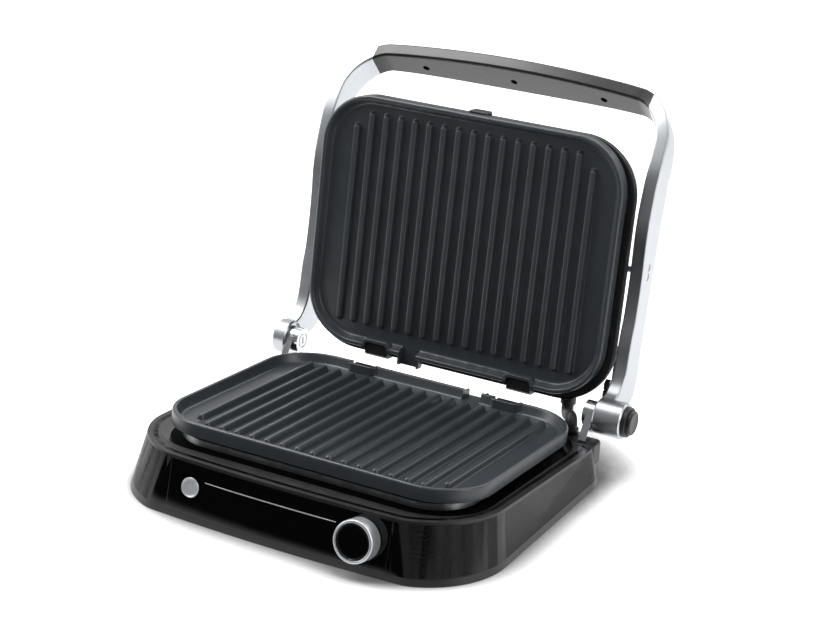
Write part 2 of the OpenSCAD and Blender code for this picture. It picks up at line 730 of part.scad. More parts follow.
// Sections of twelve points: centre, half width, half depth, corner radius.
function section(c, w, d, hw, hd, r) = [for (k = [0 : 3], a = [0 : 2])
  c + w * ((k == 0 || k == 3 ? hw - r : r - hw) + r * cos(k * 90 + a * 45))
    + d * ((k < 2 ? hd - r : r - hd) + r * sin(k * 90 + a * 45))];
function edge_section(e) = let(f = [arm_inner + arm_width / 2, e[0][0], e[0][1]],
  b = [arm_inner + arm_width / 2, e[1][0], e[1][1]])
  section((f + b) / 2, [1, 0, 0], (b - f) / norm(b - f), arm_width / 2, norm(b - f) / 2, 1.4);
function slope_section(o, i, d0, d1, r) = let(w = [o[0] - i[0], 0, 0] + (o[1] - i[1]) * bar_t)
  section([(o[0] + i[0]) / 2, 0, 0] + (o[1] + i[1]) / 2 * bar_t + (d0 + d1) / 2 * bar_d,
    w / norm(w), bar_d, norm(w) / 2, (d1 - d0) / 2, r);
function turn_section(s) = slope_section(
  [turn_x + turn_out[0] * cos(s[0]), turn_t + turn_out[1] * sin(s[0])],
  [turn_x + (turn_out[0] - bar_wall[0]) * cos(s[0]),
    turn_t + (turn_out[1] - bar_wall[1]) * sin(s[0])], s[1], s[2], 1.6 + s[0] / 90);
function span_section(s, side) = let(t = grip_top - grip_sag * (s[0] / 100) ^ 2)
  slope_section([side * s[0], t], [side * s[0], t - bar_wall[1]], s[1], s[2], 2.6);
function mirrored(row) = [for (p = row) [-p[0], p[1], p[2]]];
bar_rows = concat([for (e = arm_edges) edge_section(e)], [for (s = arm_turns) turn_section(s)],
  [span_section(grip_spans[0], 1), span_section(grip_spans[1], 1)]);
grip_rows = concat([for (i = [3 : 6]) turn_section(arm_turns[i])],
  [for (s = grip_spans) span_section(s, 1)],
  [for (i = [3, 2, 1, 0]) span_section(grip_spans[i], -1)],
  [for (i = [6, 5, 4, 3]) mirrored(turn_section(arm_turns[i]))]);

// Smooth line through the given points.
function curve(p, n) = [for (i = [0 : len(p) - 2], s = [0 : n - 1])
  let(a = p[max(i - 1, 0)], b = p[i], c = p[i + 1], d = p[min(i + 2, len(p) - 1)], t = s / n)
  0.5 * (2 * b + (c - a) * t + (2 * a - 5 * b + 4 * c - d) * t ^ 2
    + (3 * b - a - 3 * c + d) * t ^ 3)];
blade_front = [[136, 66], [142.3, 68.3], [149.8, 73.9], [156, 83], [159, 93], [161.2, 106],
  [164, 118], [167.9, 130.9]];
blade_back = [[194.7, 131.9], [191.5, 117], [188.8, 102], [186.6, 87], [184.6, 72],
  [181.4, 60], [175, 52.4], [165, 48.4], [152, 44.8], [141, 40]];

module arm(barrel_end, pin_end) {
  difference() {
    union() {
      side_view(arm_inner, arm_outer) polygon(concat([[131, 60]], curve(blade_front, 4),
        [[167.9, 130.9], [168.1, 132], [194.9, 133]], curve(blade_back, 4), [[141, 40], [131, 44]]));
      intersection() {
        skin(bar_rows);
        translate([grip_half, 0, 0]) cube(400);
      }
      at_hinge(arm_inner) cylinder(r = barrel_r, h = barrel_end - arm_inner);
    }
    at_hinge(arm_inner - 1) cylinder(r = hinge_pin_r + run_clear, h = pin_end + 1 - arm_inner);
    at_pivot(arm_inner - 1) cylinder(r = pivot_r + run_clear, h = arm_width + 3);
    pivot_slot(arm_outer - 1.2, 3);
  }
}
module pivot_slot(x, deep) at_pivot(x) rotate([0, 0, -9.5]) {
  for (s = [-4, 4]) translate([s, 0, 0]) cylinder(r = 3.5, h = deep);
  translate([-4, -3.5, 0]) cube([8, 7, deep]);
}

module arm_right() color("#c3c6ca") difference() {
  arm(barrel_right, pin_right + pin_end_clear);
  at_hinge(release_seat) cylinder(r = release_r + slide_clear, h = 20);
  at_hinge(barrel_right - 5) cylinder(r = 12.6, h = 20);
}
module arm_left() color("#c3c6ca") mirror([1, 0, 0]) arm(barrel_left, pin_left + 1.5);
module hinge_cap() color("#a9acb0") mirror([1, 0, 0]) at_hinge(barrel_left)
  cylinder(r1 = 13.5, r2 = 12.7, h = 1.5);
module release_collar() color("#19191b") at_hinge(barrel_right - 5) difference() {
  union() {
    cylinder(r = 12.6, h = 9);
    translate([0, 0, 5]) cylinder(r1 = 13.4, r2 = 12.9, h = 4);
  }
  translate([0, 0, -1]) cylinder(r = release_r + slide_clear, h = 12);
}
module release_button() color("#2a2a2d") at_hinge(release_seat + release_travel + 0.2) {
  cylinder(r = release_r, h = 12.2);
  translate([0, 0, 12.2]) cylinder(r1 = release_r, r2 = release_r - 1.4, h = 1.4);
}
module pivot_caps() color("#8f9296") both() pivot_slot(arm_outer - 1.2, 0.8);

module grip_bores(r, deep) for (x = [-grip_screw_x, 0, grip_screw_x])
  translate([x, 0, 0] + (grip_top - bar_wall[1] - 3) * bar_t + grip_side * bar_d)
    rotate([-46.5, 0, 0]) cylinder(r = r, h = 3 + deep);
module grip() color("#18181a") difference() {
  intersection() {
    skin(grip_rows);
    translate([-grip_half, 0, 0]) cube([2 * grip_half, 400, 400]);
  }
  grip_bores(3.2, 5);
}
module grip_screws() color("#8a8d91") for (x = [-grip_screw_x, 0, grip_screw_x])
  translate([x, 0, 0] + (grip_top - bar_wall[1] + 3) * bar_t + grip_side * bar_d)
    rotate([-46.5, 0, 0]) cylinder(r = 3.2, h = 2);

// Stay between the right arm and the lid, on the arm's inner face.
module rod(p, q, r) translate(p) rotate([0, acos((q - p)[2] / norm(q - p)),
  atan2((q - p)[1], (q - p)[0])]) cylinder(r = r, h = norm(q - p), $fn = 16);
stay_at = [160, 68.5];
stay_x = arm_inner - 7.3;
stud_end = arm_inner - 3.5;
stay_pin_x = arm_inner - 6.5;
stay_pin_r = 2.6;
stud_start = frame_half - 6.2;
module stay_bracket() color("#b7babe") {
  side_view(arm_inner - 1.8, arm_inner) polygon([[154, 74], [166, 74], [181, 68], [181, 61],
    [166, 63.5], [154, 63.5]]);
  translate([stay_pin_x, stay_at[0], stay_at[1]]) rotate([0, 90, 0]) cylinder(r = stay_pin_r, h = 5);
}
module stay_knob() color("#161618") difference() {
  union() {
    translate([stay_x, stay_at[0], stay_at[1]]) rotate([0, 90, 0])
      cylinder(r = 5.5, h = stud_end - stay_x, $fn = 6);
    translate([stay_x, stay_at[0] - 6, stay_at[1] - 11]) cube([stud_end - stay_x, 5, 7]);
  }
  translate([stay_pin_x, stay_at[0], stay_at[1]]) rotate([0, 90, 0]) cylinder(r = stay_pin_r, h = 9);
}
module stay_wire() color("#d0d3d6") {
  rod([stud_end + 0.8, 165.5, 96.5], [stud_end + 0.8, 162.3, 70.5], 0.8);
  rod([stud_end + 0.8, 169.3, 96.2], [stud_end + 0.8, 164.8, 70.5], 0.8);
}

// Lid.
frame_low = -26;
frame_high = 210;
frame_corner = 52;
pivot_start = frame_half - 15;
frame_back = frame_drop + frame_edge;
// Cover slices: depth behind the rib crowns, inset from the frame's side, lower and upper end, corner.
cover_slices = [[17, 2, -24, 208, 50], [24, 3.6, -20, 206.4, 48], [31, 5.2, -13, 204, 46],
  [36, 8.5, -4, 196, 44], [41.5, 15, 6, 140, 42], [44.5, 25, 20, 80, 30]];
frame_screw_spots = [[frame_half - 7.6, 72], [frame_half - 7.6, 128]];
catch_travel = 2.5;

module plate_turned() at_lid() translate([0, rib_length, 0]) rotate([0, 0, 180]) children();
module upper_plate() color("#2b2d30") plate_turned() plate_casting();
module upper_element() color("#6f7276") plate_turned() heater();
module upper_pan() color("#b4b7ba") plate_turned() heat_pan();
module upper_clips() color("#161618") plate_turned() hook(frame_drop);

module cover_form(wall) hull() for (s = cover_slices) translate([0, 0, -s[0] + wall])
  linear_extrude(0.01) pad(frame_half - s[1] - wall, s[2] + wall, s[3] - wall, s[4] - wall, s[4] - wall);

module frame_pad(grow, low, high) translate([0, 0, low]) linear_extrude(high - low)
  pad(frame_half + grow, frame_low - grow, frame_high + grow, frame_corner + grow,
    frame_corner + grow);

module lid_frame() color("#1c1c1e") at_lid() difference() {
  union() {
    frame_pad(0, -frame_back, -frame_drop);
    both() for (u = [40, 150]) translate([rest_x - 3, u, -frame_drop])
      cube([6, 16, frame_drop - plate_under]);
  }
  translate([0, rib_length, -30]) rotate([0, 0, 180]) linear_extrude(40)
    pad(pan_half, pan_front, pan_back, 40, 40);
  both() for (s = frame_screw_spots) translate([s[0], s[1], -30]) cylinder(r = screw_r, h = 40);
  both() for (s = frame_screw_spots) translate([s[0], s[1], -frame_drop - 2])
    cylinder(r = screw_head_r, h = 9);
}

module lid_cover() color("#b9bcc0") difference() {
  at_lid() union() {
    difference() {
      cover_form(0);
      cover_form(cover_wall);
      translate([-200, -100, -frame_back]) cube([400, 400, 30]);
    }
    intersection() {
      cover_form(0.2);
      both() for (s = frame_screw_spots) translate([s[0], s[1], -frame_back - 10])
        cylinder(r = 4, h = 10);
    }
  }
  both() at_pivot(pivot_start - 8) cylinder(r = pivot_r, h = 30);
  at_stud() cylinder(r = 4, h = 30);
  both() for (s = frame_screw_spots) at_lid() translate([s[0], s[1], -frame_back - 9])
    cylinder(r = screw_r, h = 12);
  at_lid() translate([-catch_half, 200, -frame_back - 2.2]) cube([2 * catch_half, 12, 2.2]);
}

module at_stud() at_lid() translate([stud_start, 26.3, -21.2]) rotate([0, 90, 0]) children();
module lid_stud() color("#161618") at_stud() cylinder(r = 4, h = stud_end - stud_start);

module lid_gland() color("#161618") difference() {
  at_lid() translate([entry_x, entry_u, entry_h]) rotate([-90, 0, 0]) difference() {
    cylinder(r = gland_r, h = 20);
    translate([0, 0, -1]) cylinder(r = sleeve_r + gland_clear, h = 30);
  }
  at_lid() frame_pad(0, -60, 30);
}

module pivot_pins() color("#c9ccd0") both() at_pivot(pivot_start)
  cylinder(r = pivot_r, h = arm_inner + 10.1 - pivot_start);
module pivot_brackets() color("#9a9da1") both() difference() {
  at_lid() translate([pivot_start + 2.5, 0, 0]) rotate([90, 0, 90]) linear_extrude(3) polygon([
    [lid_u - 14, -frame_back], [lid_u + 14, -frame_back], [lid_u + 9, -35], [lid_u - 9, -35]]);
  at_pivot(pivot_start - 8) cylinder(r = pivot_r, h = 30);
}
module frame_screws() color("#7d8084") at_lid() both() for (s = frame_screw_spots)
  translate([s[0], s[1], 0]) {
    translate([0, 0, -frame_drop - 2]) cylinder(r = screw_head_r, h = 1.6);
    translate([0, 0, -frame_back - 8]) cylinder(r = screw_r, h = frame_edge + 7);
  }

// Spring catch that holds the upper plate's free edge, drawn outwards to let go.
module plate_catch() color("#161618") at_lid() rotate([90, 0, 90]) translate([0, 0, 1 - catch_half])
  linear_extrude(2 * catch_half - 2) polygon([[205.4, -frame_back - 1.9], [213, -frame_back - 1.9],
    [213.2, -6], [212.4, -4.9], [210.8, -4.9], [209.3, -6], [209.3, -7.6], [211.2, -7.6],
    [211.2, -frame_back - 0.1], [205.4, -frame_back - 0.1]]);

// The chosen sub-part, or all of them.
base_shell();
base_well();
base_bottom();
front_panel();
light_guide();
control_board();
encoder();
power_switch();
lower_plate();
lower_element();
lower_pan();
lower_clips();
thermostat();
cord_gland();
foot_front_left();
foot_front_right();
foot_rear_left();
foot_rear_right();
bottom_screws();
hinge_post_left();
hinge_post_right();
shoulder_left();
shoulder_right();
hinge_pin_left();
hinge_pin_right();
sleeve_gland();
wire_sleeve();
arm_left();
arm_right();
grip();
grip_screws();
hinge_cap();
release_collar();
stay_bracket();
stay_knob();
stay_wire();
pivot_caps();
lid_frame();
lid_cover();
upper_plate();
upper_element();
upper_pan();
upper_clips();
lid_stud();
lid_gland();
pivot_pins();
pivot_brackets();
frame_screws();
release_button();
power_button();
knob_ring();
knob_shaft();
knob_cap();
plate_catch();
drip_tray();
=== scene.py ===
import json
from math import cos, pi, radians, sin, tan

import bmesh
import bpy
from mathutils import Matrix, Vector


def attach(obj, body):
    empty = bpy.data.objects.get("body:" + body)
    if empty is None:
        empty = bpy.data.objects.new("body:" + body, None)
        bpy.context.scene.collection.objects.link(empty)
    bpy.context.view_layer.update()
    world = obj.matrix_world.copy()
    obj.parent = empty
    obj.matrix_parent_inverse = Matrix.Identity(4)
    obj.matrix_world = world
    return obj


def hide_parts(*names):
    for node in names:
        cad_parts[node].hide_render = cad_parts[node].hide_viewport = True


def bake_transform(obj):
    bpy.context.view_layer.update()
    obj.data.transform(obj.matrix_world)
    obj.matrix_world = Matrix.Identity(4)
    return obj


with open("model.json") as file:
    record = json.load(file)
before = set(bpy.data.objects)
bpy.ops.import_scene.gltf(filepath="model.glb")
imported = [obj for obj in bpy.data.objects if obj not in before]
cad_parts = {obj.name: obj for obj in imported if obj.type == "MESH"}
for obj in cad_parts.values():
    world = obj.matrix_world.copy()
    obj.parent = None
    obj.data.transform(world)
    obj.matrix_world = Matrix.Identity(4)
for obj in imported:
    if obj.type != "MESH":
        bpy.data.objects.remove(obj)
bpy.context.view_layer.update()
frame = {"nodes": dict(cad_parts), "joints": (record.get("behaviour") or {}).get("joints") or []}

# The picture.
# The object stands on a plain white sweep and is seen from its right front,
# a little from above, through a long lens.
MM = 0.001
eye = Vector((0.75471, -1.37662, 0.74256))
turned, raised, rolled = radians(27.47), radians(20.52), radians(3.07)
back = Vector((sin(turned) * cos(raised), -cos(turned) * cos(raised), sin(raised)))
level_right = Vector((cos(turned), sin(turned), 0))
level_up = back.cross(level_right)
right = cos(rolled) * level_right + sin(rolled) * level_up
up = cos(rolled) * level_up - sin(rolled) * level_right
camera = bpy.data.objects.new("camera", bpy.data.cameras.new("camera"))
bpy.context.scene.collection.objects.link(camera)
camera.matrix_world = Matrix.Translation(eye) @ Matrix((right, up, back)).transposed().to_4x4()
camera.data.sensor_width = 36
camera.data.lens = 88.5
camera.data.clip_start = 0.05
bpy.context.scene.camera = camera
bpy.context.scene.view_settings.view_transform = "Standard"


def linear(code):
    """A colour written as sRGB hex, as the linear colour that a shader takes."""
    parts = [int(code[i:i + 2], 16) / 255 for i in (1, 3, 5)]
    return tuple(c / 12.92 if c <= 0.04045 else ((c + 0.055) / 1.055) ** 2.4 for c in parts) + (1,)


def feed(tree, socket, value):
    """Gives a shader socket a value, a colour in hex, another socket, or a node's first output."""
    if isinstance(value, bpy.types.Node):
        value = value.outputs[0]
    if isinstance(value, bpy.types.NodeSocket):
        tree.links.new(value, socket)
    else:
        socket.default_value = linear(value) if isinstance(value, str) else value


def add(tree, kind, fed=None, **settings):
    """Adds one shader node, with its settings, and feeds its inputs."""
    made = tree.nodes.new("ShaderNode" + kind)
    for key, value in settings.items():
        setattr(made, key, value)
    for key, value in (fed or {}).items():
        feed(tree, made.inputs[key], value)
    return made


# Light: wide soft boxes overhead and behind, a smaller, brighter one that draws
# the highlights, a tall box at the left, a weaker one at the right, a dim room.
def softbox(name, place, aim, width, height, power):
    """A rectangular lamp at a place that faces a point."""
    lamp = bpy.data.lights.new(name, "AREA")
    lamp.shape = "RECTANGLE"
    lamp.size = width
    lamp.size_y = height
    lamp.energy = power
    made = bpy.data.objects.new(name, lamp)
    bpy.context.scene.collection.objects.link(made)
    made.location = place
    made.rotation_euler = (Vector(place) - Vector(aim)).to_track_quat("Z", "Y").to_euler()


middle = (0, 0, 0.12)
softbox("soft_box_over", (-0.2, 0.2, 1.9), middle, 2.6, 2.0, 10)
softbox("key_box", (-1.05, 0.05, 1.75), middle, 1.2, 1.0, 24)
softbox("soft_box_back", (0.3, 1.6, 1.3), middle, 2.2, 1.0, 16)
softbox("soft_box_left", (-1.9, -0.7, 1.1), middle, 1.1, 1.7, 20)
softbox("soft_box_right", (1.7, -0.2, 1.0), middle, 0.7, 1.6, 10)


def rays(tree):
    """The kinds of ray, and one value for the two that see the bare background."""
    kinds = add(tree, "LightPath").outputs
    return kinds, add(tree, "Math", {0: kinds["Is Camera Ray"], 1: kinds["Is Transmission Ray"]},
                      operation="MAXIMUM")


# The room is white behind the object and dark behind the camera, which the
# gloss black and the metal mirror.
room = bpy.data.worlds.new("room")
bpy.context.scene.world = room
room.use_nodes = True
tree = room.node_tree
seen, shown = rays(tree)
dim = add(tree, "Background", {"Color": "#ffffff", "Strength": 0.32})
bright = add(tree, "Background", {"Color": "#ffffff", "Strength": 1.0})
way = add(tree, "SeparateXYZ", {0: add(tree, "TexCoord").outputs["Generated"]})
behind = add(tree, "MapRange", {"Value": way.outputs["Y"], "From Min": -0.55, "From Max": 0.35,
                                "To Min": 0.26, "To Max": 0.95}, interpolation_type="SMOOTHSTEP")
high = add(tree, "MapRange", {"Value": way.outputs["Z"], "From Min": 0.05, "From Max": 0.4,
                              "To Min": 1.0, "To Max": 0.8})
level = add(tree, "Math", {0: behind, 1: high}, operation="MULTIPLY")
soft = add(tree, "Background", {"Color": "#ffffff", "Strength": level})
mirrored = add(tree, "MixShader", {0: seen["Is Glossy Ray"], 1: dim, 2: soft})
sky = add(tree, "MixShader", {0: shown, 1: mirrored, 2: bright})
tree.links.new(sky.outputs[0], tree.nodes["World Output"].inputs["Surface"])

# The floor: matte white paper, seen a little brighter than it is lit, so that
# it ends in white and still takes the shadow.
bpy.ops.object.select_all(action="DESELECT")
bpy.ops.mesh.primitive_plane_add(size=16)
floor = bpy.context.object
floor.name = "floor"
paper = bpy.data.materials.new("matte_white_paper")
paper.use_nodes = True
tree = paper.node_tree
tree.nodes.clear()
seen, shown = rays(tree)
lit = add(tree, "BsdfDiffuse", {"Color": "#dcdcdc"})
# Close under the object a shadow is painted in: ambient occlusion darkens the paper's colour towards grey
# and takes away its glow.
open_sky = add(tree, "AmbientOcclusion", {"Distance": 90 * MM}).outputs["AO"]
shade = add(tree, "MapRange", {"Value": open_sky, "From Min": 0.55, "From Max": 0.93},
            interpolation_type="SMOOTHSTEP").outputs["Result"]
painted_shadow_tone = add(tree, "MixRGB", {"Fac": shade, "Color1": "#8c8c8c", "Color2": "#dcdcdc"})
shaded = add(tree, "BsdfDiffuse", {"Color": painted_shadow_tone})
lift = add(tree, "Emission", {"Color": "#ffffff", "Strength": shade})
lifted = add(tree, "AddShader", {0: shaded, 1: lift})
# In reflections only, the paper beside the object is given a painted glow and the paper in front of it is
# painted dark, so that the gloss black mirrors white at the sides and dark in front.
spot = add(tree, "SeparateXYZ", {0: add(tree, "TexCoord").outputs["Object"]})
near = add(tree, "MapRange", {"Value": spot.outputs["Y"], "From Min": -0.26, "From Max": -0.14},
           interpolation_type="SMOOTHSTEP")
far = add(tree, "Math", {0: 1.0, 1: near}, operation="SUBTRACT")
glow = add(tree, "Emission", {"Color": "#ffffff", "Strength": 0.7})
beside = add(tree, "AddShader", {0: lit, 1: glow})
painted_dark_paper = add(tree, "BsdfDiffuse", {"Color": "#101010"})
mirrored = add(tree, "MixShader", {0: far, 1: beside, 2: painted_dark_paper})
faded = add(tree, "MixShader", {0: seen["Is Glossy Ray"], 1: lit, 2: mirrored})
sheet = add(tree, "MixShader", {0: shown, 1: faded, 2: lifted})
add(tree, "OutputMaterial", {"Surface": sheet})
floor.data.materials.append(paper)

# Base casing.
# The base is one deep moulding in piano-black ABS: its sides lean in, its front
# is bowed, and its deck falls to the rear with the plate. It is thin-walled and
# open below, where the bottom is screwed on.
def clear():
    """Leaves edit mode, with nothing selected."""
    if bpy.context.object and bpy.context.object.mode == "EDIT":
        bpy.ops.object.mode_set(mode="OBJECT")
    bpy.ops.object.select_all(action="DESELECT")


def pick(kind, test):
    """In edit mode, selects the verts, edges or faces whose middle passes the test, and no others."""
    bpy.ops.mesh.select_mode(type={"verts": "VERT", "edges": "EDGE", "faces": "FACE"}[kind])
    bpy.ops.mesh.select_all(action="DESELECT")
    mesh = bmesh.from_edit_mesh(bpy.context.object.data)
    for part in getattr(mesh, kind):
        ends = [part.co] if kind == "verts" else [v.co for v in part.verts]
        part.select_set(test(sum(ends, Vector()) / len(ends)))
    bmesh.update_edit_mesh(bpy.context.object.data)


def edit(made):
    """Opens a piece in edit mode, with all of it selected."""
    clear()
    bpy.context.view_layer.objects.active = made
    bpy.ops.object.mode_set(mode="EDIT")
    bpy.ops.mesh.select_all(action="SELECT")


def face_outwards():
    """In edit mode, turns every face outwards."""
    bpy.ops.mesh.select_all(action="SELECT")
    bpy.ops.mesh.normals_make_consistent(inside=False)


def pad(half, front, rear, front_corner, rear_corner, z=0.0, steps=16):
    """A flat face with four round corners, in a new object left in edit mode."""
    clear()
    bpy.ops.mesh.primitive_plane_add(size=1, location=(0, (front + rear) / 2, z))
    bpy.ops.transform.resize(value=(2 * half, rear - front, 1))
    bpy.ops.object.transform_apply(location=True, rotation=True, scale=True)
    made = bpy.context.object
    bpy.ops.object.mode_set(mode="EDIT")
    for corner, at_rear in ((front_corner, False), (rear_corner, True)):
        if corner:
            pick("verts", lambda p: (p.y > (front + rear) / 2) == at_rear)
            bpy.ops.mesh.bevel(offset=corner, offset_type="OFFSET", segments=steps, affect="VERTICES")
    bpy.ops.mesh.select_all(action="SELECT")
    bpy.ops.mesh.remove_doubles(threshold=0.01 * MM)
    bpy.ops.mesh.select_mode(type="FACE")
    bpy.ops.mesh.select_all(action="SELECT")
    return made


def prism(half, front, rear, front_corner, rear_corner, low, height, steps=16):
    """A block with round upright corners."""
    made = pad(half, front, rear, front_corner, rear_corner, low, steps)
    rise(height)
    face_outwards()
    return made


def rise(height, widen=1.0):
    """Pulls the selected face up, and scales it about its middle."""
    bpy.ops.mesh.extrude_region_move(TRANSFORM_OT_translate={"value": (0, 0, height)})
    if widen != 1:
        bpy.ops.transform.resize(value=(widen, widen, 1))


def apply_modifier(made, kind, **settings):
    """Gives the piece one modifier and applies it."""
    clear()
    bpy.context.view_layer.objects.active = made
    added = made.modifiers.new(kind, kind)
    for key, value in settings.items():
        setattr(added, key, value)
    bpy.ops.object.modifier_apply(modifier=added.name)


def combine(made, other, how="DIFFERENCE"):
    """Cuts the other solid from the piece, or joins or intersects them, and drops the other."""
    apply_modifier(made, "BOOLEAN", operation=how, object=other, solver="EXACT")
    bpy.data.objects.remove(other)


def join(made, *others):
    """Makes several objects one."""
    clear()
    for each in (made, *others):
        each.select_set(True)
    bpy.context.view_layer.objects.active = made
    bpy.ops.object.join()
    return made


def block(low, high):
    """A box between two corners."""
    clear()
    bpy.ops.mesh.primitive_cube_add(size=1, location=(Vector(low) + Vector(high)) / 2)
    bpy.ops.transform.resize(value=Vector(high) - Vector(low))
    bpy.ops.object.transform_apply(location=True, rotation=True, scale=True)
    return bpy.context.object


def place(made, matrix):
    """Moves a piece made at the origin to its place, in its mesh."""
    clear()
    made.matrix_world = matrix
    made.select_set(True)
    bpy.context.view_layer.objects.active = made
    bpy.ops.object.transform_apply(location=True, rotation=True, scale=True)
    return made


def settle(made, name, body, finish, smooth=32, stands_for=()):
    """Names and smooths a finished piece, gives it its material and seats it on its body, if it has one."""
    clear()
    made.select_set(True)
    bpy.context.view_layer.objects.active = made
    bpy.ops.object.shade_smooth_by_angle(angle=radians(smooth))
    apply_modifier(made, "WEIGHTED_NORMAL", keep_sharp=True)
    made.name = name
    made.data.name = name
    made.data.materials.clear()
    made.data.materials.append(finish)
    if body:
        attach(made, body)
    if stands_for:
        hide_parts(*stands_for)
    return made


base_half = 169.5 * MM
base_lean = 9.5 * MM
base_front = -150 * MM
base_rear = 135.8 * MM
front_corner = 76 * MM
rear_corner = 44 * MM
bow_radius = 1667 * MM
shell_foot = 6 * MM
base_top = 52 * MM
panel_lean = radians(12.5)
plate_tilt = radians(3.74)
on_plate = Matrix.Translation((0, -92 * MM, 60 * MM)) @ Matrix.Rotation(-plate_tilt, 4, "X")
deck_drop = 14 * MM


def base_outline(z, inset):
    """The base's bowed outline at a height, as one face."""
    share = (z - shell_foot) / (base_top - shell_foot)
    front = base_front + inset + (z - shell_foot) * tan(panel_lean)
    made = pad(base_half - inset - base_lean * share, front, base_rear - inset,
               front_corner - inset, rear_corner - inset, z, 20)
    pick("edges", lambda p: p.y < front + 1e-6)
    bpy.ops.mesh.subdivide(number_cuts=15)
    bpy.ops.object.mode_set(mode="OBJECT")
    for point in made.data.vertices:
        point.co.y = max(point.co.y, front + point.co.x ** 2 / (2 * bow_radius))
    return made


# The deck's rolled edge, its level border and the easy step down to the well: in, up.
deck_steps = ((0.25, 0.5), (0.4, 0.45), (0.6, 0.4), (0.9, 0.33), (1.2, 0.22), (1.5, 0.1), (4.0, 0.0),
              (3.0, -0.1), (4.0, -0.3), (4.0, -0.3))


def base_block(inset, drop, low, shaped=False):
    """The base's outer form, drawn in by a wall, with its deck cut parallel to the plate."""
    made = join(base_outline(low, inset), base_outline(base_top, inset))
    edit(made)
    bpy.ops.mesh.delete(type="ONLY_FACE")
    bpy.ops.mesh.select_all(action="SELECT")
    bpy.ops.mesh.bridge_edge_loops()
    on_deck = on_plate @ Vector((0, 0, -drop))
    square_to_deck = (on_plate.to_3x3() @ Vector((0, 0, 1))).normalized()
    bpy.ops.mesh.select_all(action="SELECT")
    bpy.ops.mesh.bisect(plane_co=on_deck, plane_no=square_to_deck, clear_outer=True, use_fill=True)
    if shaped:
        pick("faces", lambda p: abs((p - on_deck).dot(square_to_deck)) < 1e-6)
        for inward, upward in deck_steps:
            bpy.ops.mesh.inset(thickness=inward * MM, depth=upward * MM)
    pick("edges", lambda p: p.z < low + 1e-6)
    bpy.ops.mesh.edge_face_add()
    face_outwards()
    clear()
    return made


shell_wall = 3.2 * MM
deck_wall = 3.5 * MM
mouth_half, mouth_front, mouth_rear, mouth_corner = 127 * MM, 5 * MM, 199 * MM, 34 * MM
well_deep, roll_height = 40 * MM, 2 * MM
tray_front, tray_rear, tray_low, tray_tall = 60 * MM, 97 * MM, 6.4 * MM, 13.6 * MM
slide_gap = 0.3 * MM
panel_half, panel_wall, panel_drop = 102 * MM, 1.6 * MM, 2.5 * MM


def front_y(x, z):
    """The bowed, leaning front of the base at a place across and up."""
    return base_front + x ** 2 / (2 * bow_radius) + (z - shell_foot) * tan(panel_lean)


def panel_top(x, drop):
    """Height of the panel's top edge, a drop below the plane of the rib crowns."""
    y = front_y(x, 46 * MM - drop)
    return (60 - drop / MM / cos(plate_tilt)) * MM - (y + 92 * MM) * tan(plate_tilt)


def front_sheet(half, wall, drop):
    """A bowed sheet that lies in the base's front between two sides."""
    clear()
    bpy.ops.mesh.primitive_grid_add(x_subdivisions=40, y_subdivisions=2, size=2)
    made = bpy.context.object
    for point in made.data.vertices:
        x, share = half * point.co.x, (point.co.y + 1) / 2
        z = shell_foot + share * (panel_top(x, drop) - shell_foot)
        point.co = (x, front_y(x, z), z)
    apply_modifier(made, "SOLIDIFY", thickness=wall, offset=-1)
    return made


def side_prism(outline, half):
    """A block with a side view given as (y, z) corners, between two sides."""
    clear()
    bpy.ops.mesh.primitive_circle_add(vertices=len(outline), fill_type="NGON")
    made = bpy.context.object
    for point, (y, z) in zip(made.data.vertices, outline):
        point.co = (-half, y * MM, z * MM)
    edit(made)
    bpy.ops.mesh.extrude_region_move(TRANSFORM_OT_translate={"value": (2 * half, 0, 0)})
    face_outwards()
    clear()
    return made


def dress(tree, fed):
    """Feeds the sockets of a material's shader."""
    for socket, value in fed.items():
        feed(tree, tree.nodes["Principled BSDF"].inputs[socket], value)


def new_finish(name, even=None):
    """Starts a material, with what is even all over it: itself, its node tree and Object coordinates."""
    made = bpy.data.materials.new(name)
    made.use_nodes = True
    dress(made.node_tree, even or {})
    return made, made.node_tree, add(made.node_tree, "TexCoord").outputs["Object"]


def copy_finish(finish, name, **laid):
    """The same finish under its own name, with its pattern laid another way."""
    made = finish.copy()
    made.name = name
    for node in made.node_tree.nodes:
        if node.type == "MAPPING":
            for socket, value in laid.items():
                node.inputs[socket].default_value = value
    return made


# Piano-black ABS out of a polished mould: a deep black under a clear, hard
# gloss, with faint flow in the face and a little dust-fine haze.
gloss_black, tree, where = new_finish("piano_black_abs", {"Base Color": "#060607", "IOR": 1.56})
haze = add(tree, "TexNoise", {"Vector": where, "Scale": 1 / (14 * MM), "Detail": 4.0})
rough = add(tree, "MapRange", {"Value": haze, "To Min": 0.03, "To Max": 0.09})
flow = add(tree, "TexNoise", {"Vector": where, "Scale": 1 / (9 * MM), "Detail": 1.0})
skin = add(tree, "Bump", {"Height": flow, "Strength": 0.05, "Distance": 0.4 * MM})
dress(tree, {"Roughness": rough, "Normal": skin})

casing = base_block(0, deck_drop + roll_height, shell_foot, True)
# The seat of the control panel, sunk into the front.
bpy.context.view_layer.objects.active = casing
bpy.ops.object.mode_set(mode="EDIT")
over_panel = on_plate @ Vector((0, 0, -deck_drop - panel_drop))
square_to_plate = (on_plate.to_3x3() @ Vector((0, 0, 1))).normalized()
for co, no in ((over_panel, square_to_plate), ((panel_half, 0, 0), (1, 0, 0)),
               ((-panel_half, 0, 0), (1, 0, 0))):
    bpy.ops.mesh.select_all(action="SELECT")
    bpy.ops.mesh.bisect(plane_co=co, plane_no=no)
pick("faces", lambda p: abs(p.x) < panel_half and p.y < -120 * MM and p.z > shell_foot + 1 * MM
     and (p - over_panel).dot(square_to_plate) < 0)
bpy.ops.mesh.extrude_region_shrink_fatten(TRANSFORM_OT_shrink_fatten={"value": -panel_wall})
clear()
combine(casing, base_block(shell_wall, deck_drop + deck_wall, shell_foot - 1 * MM))
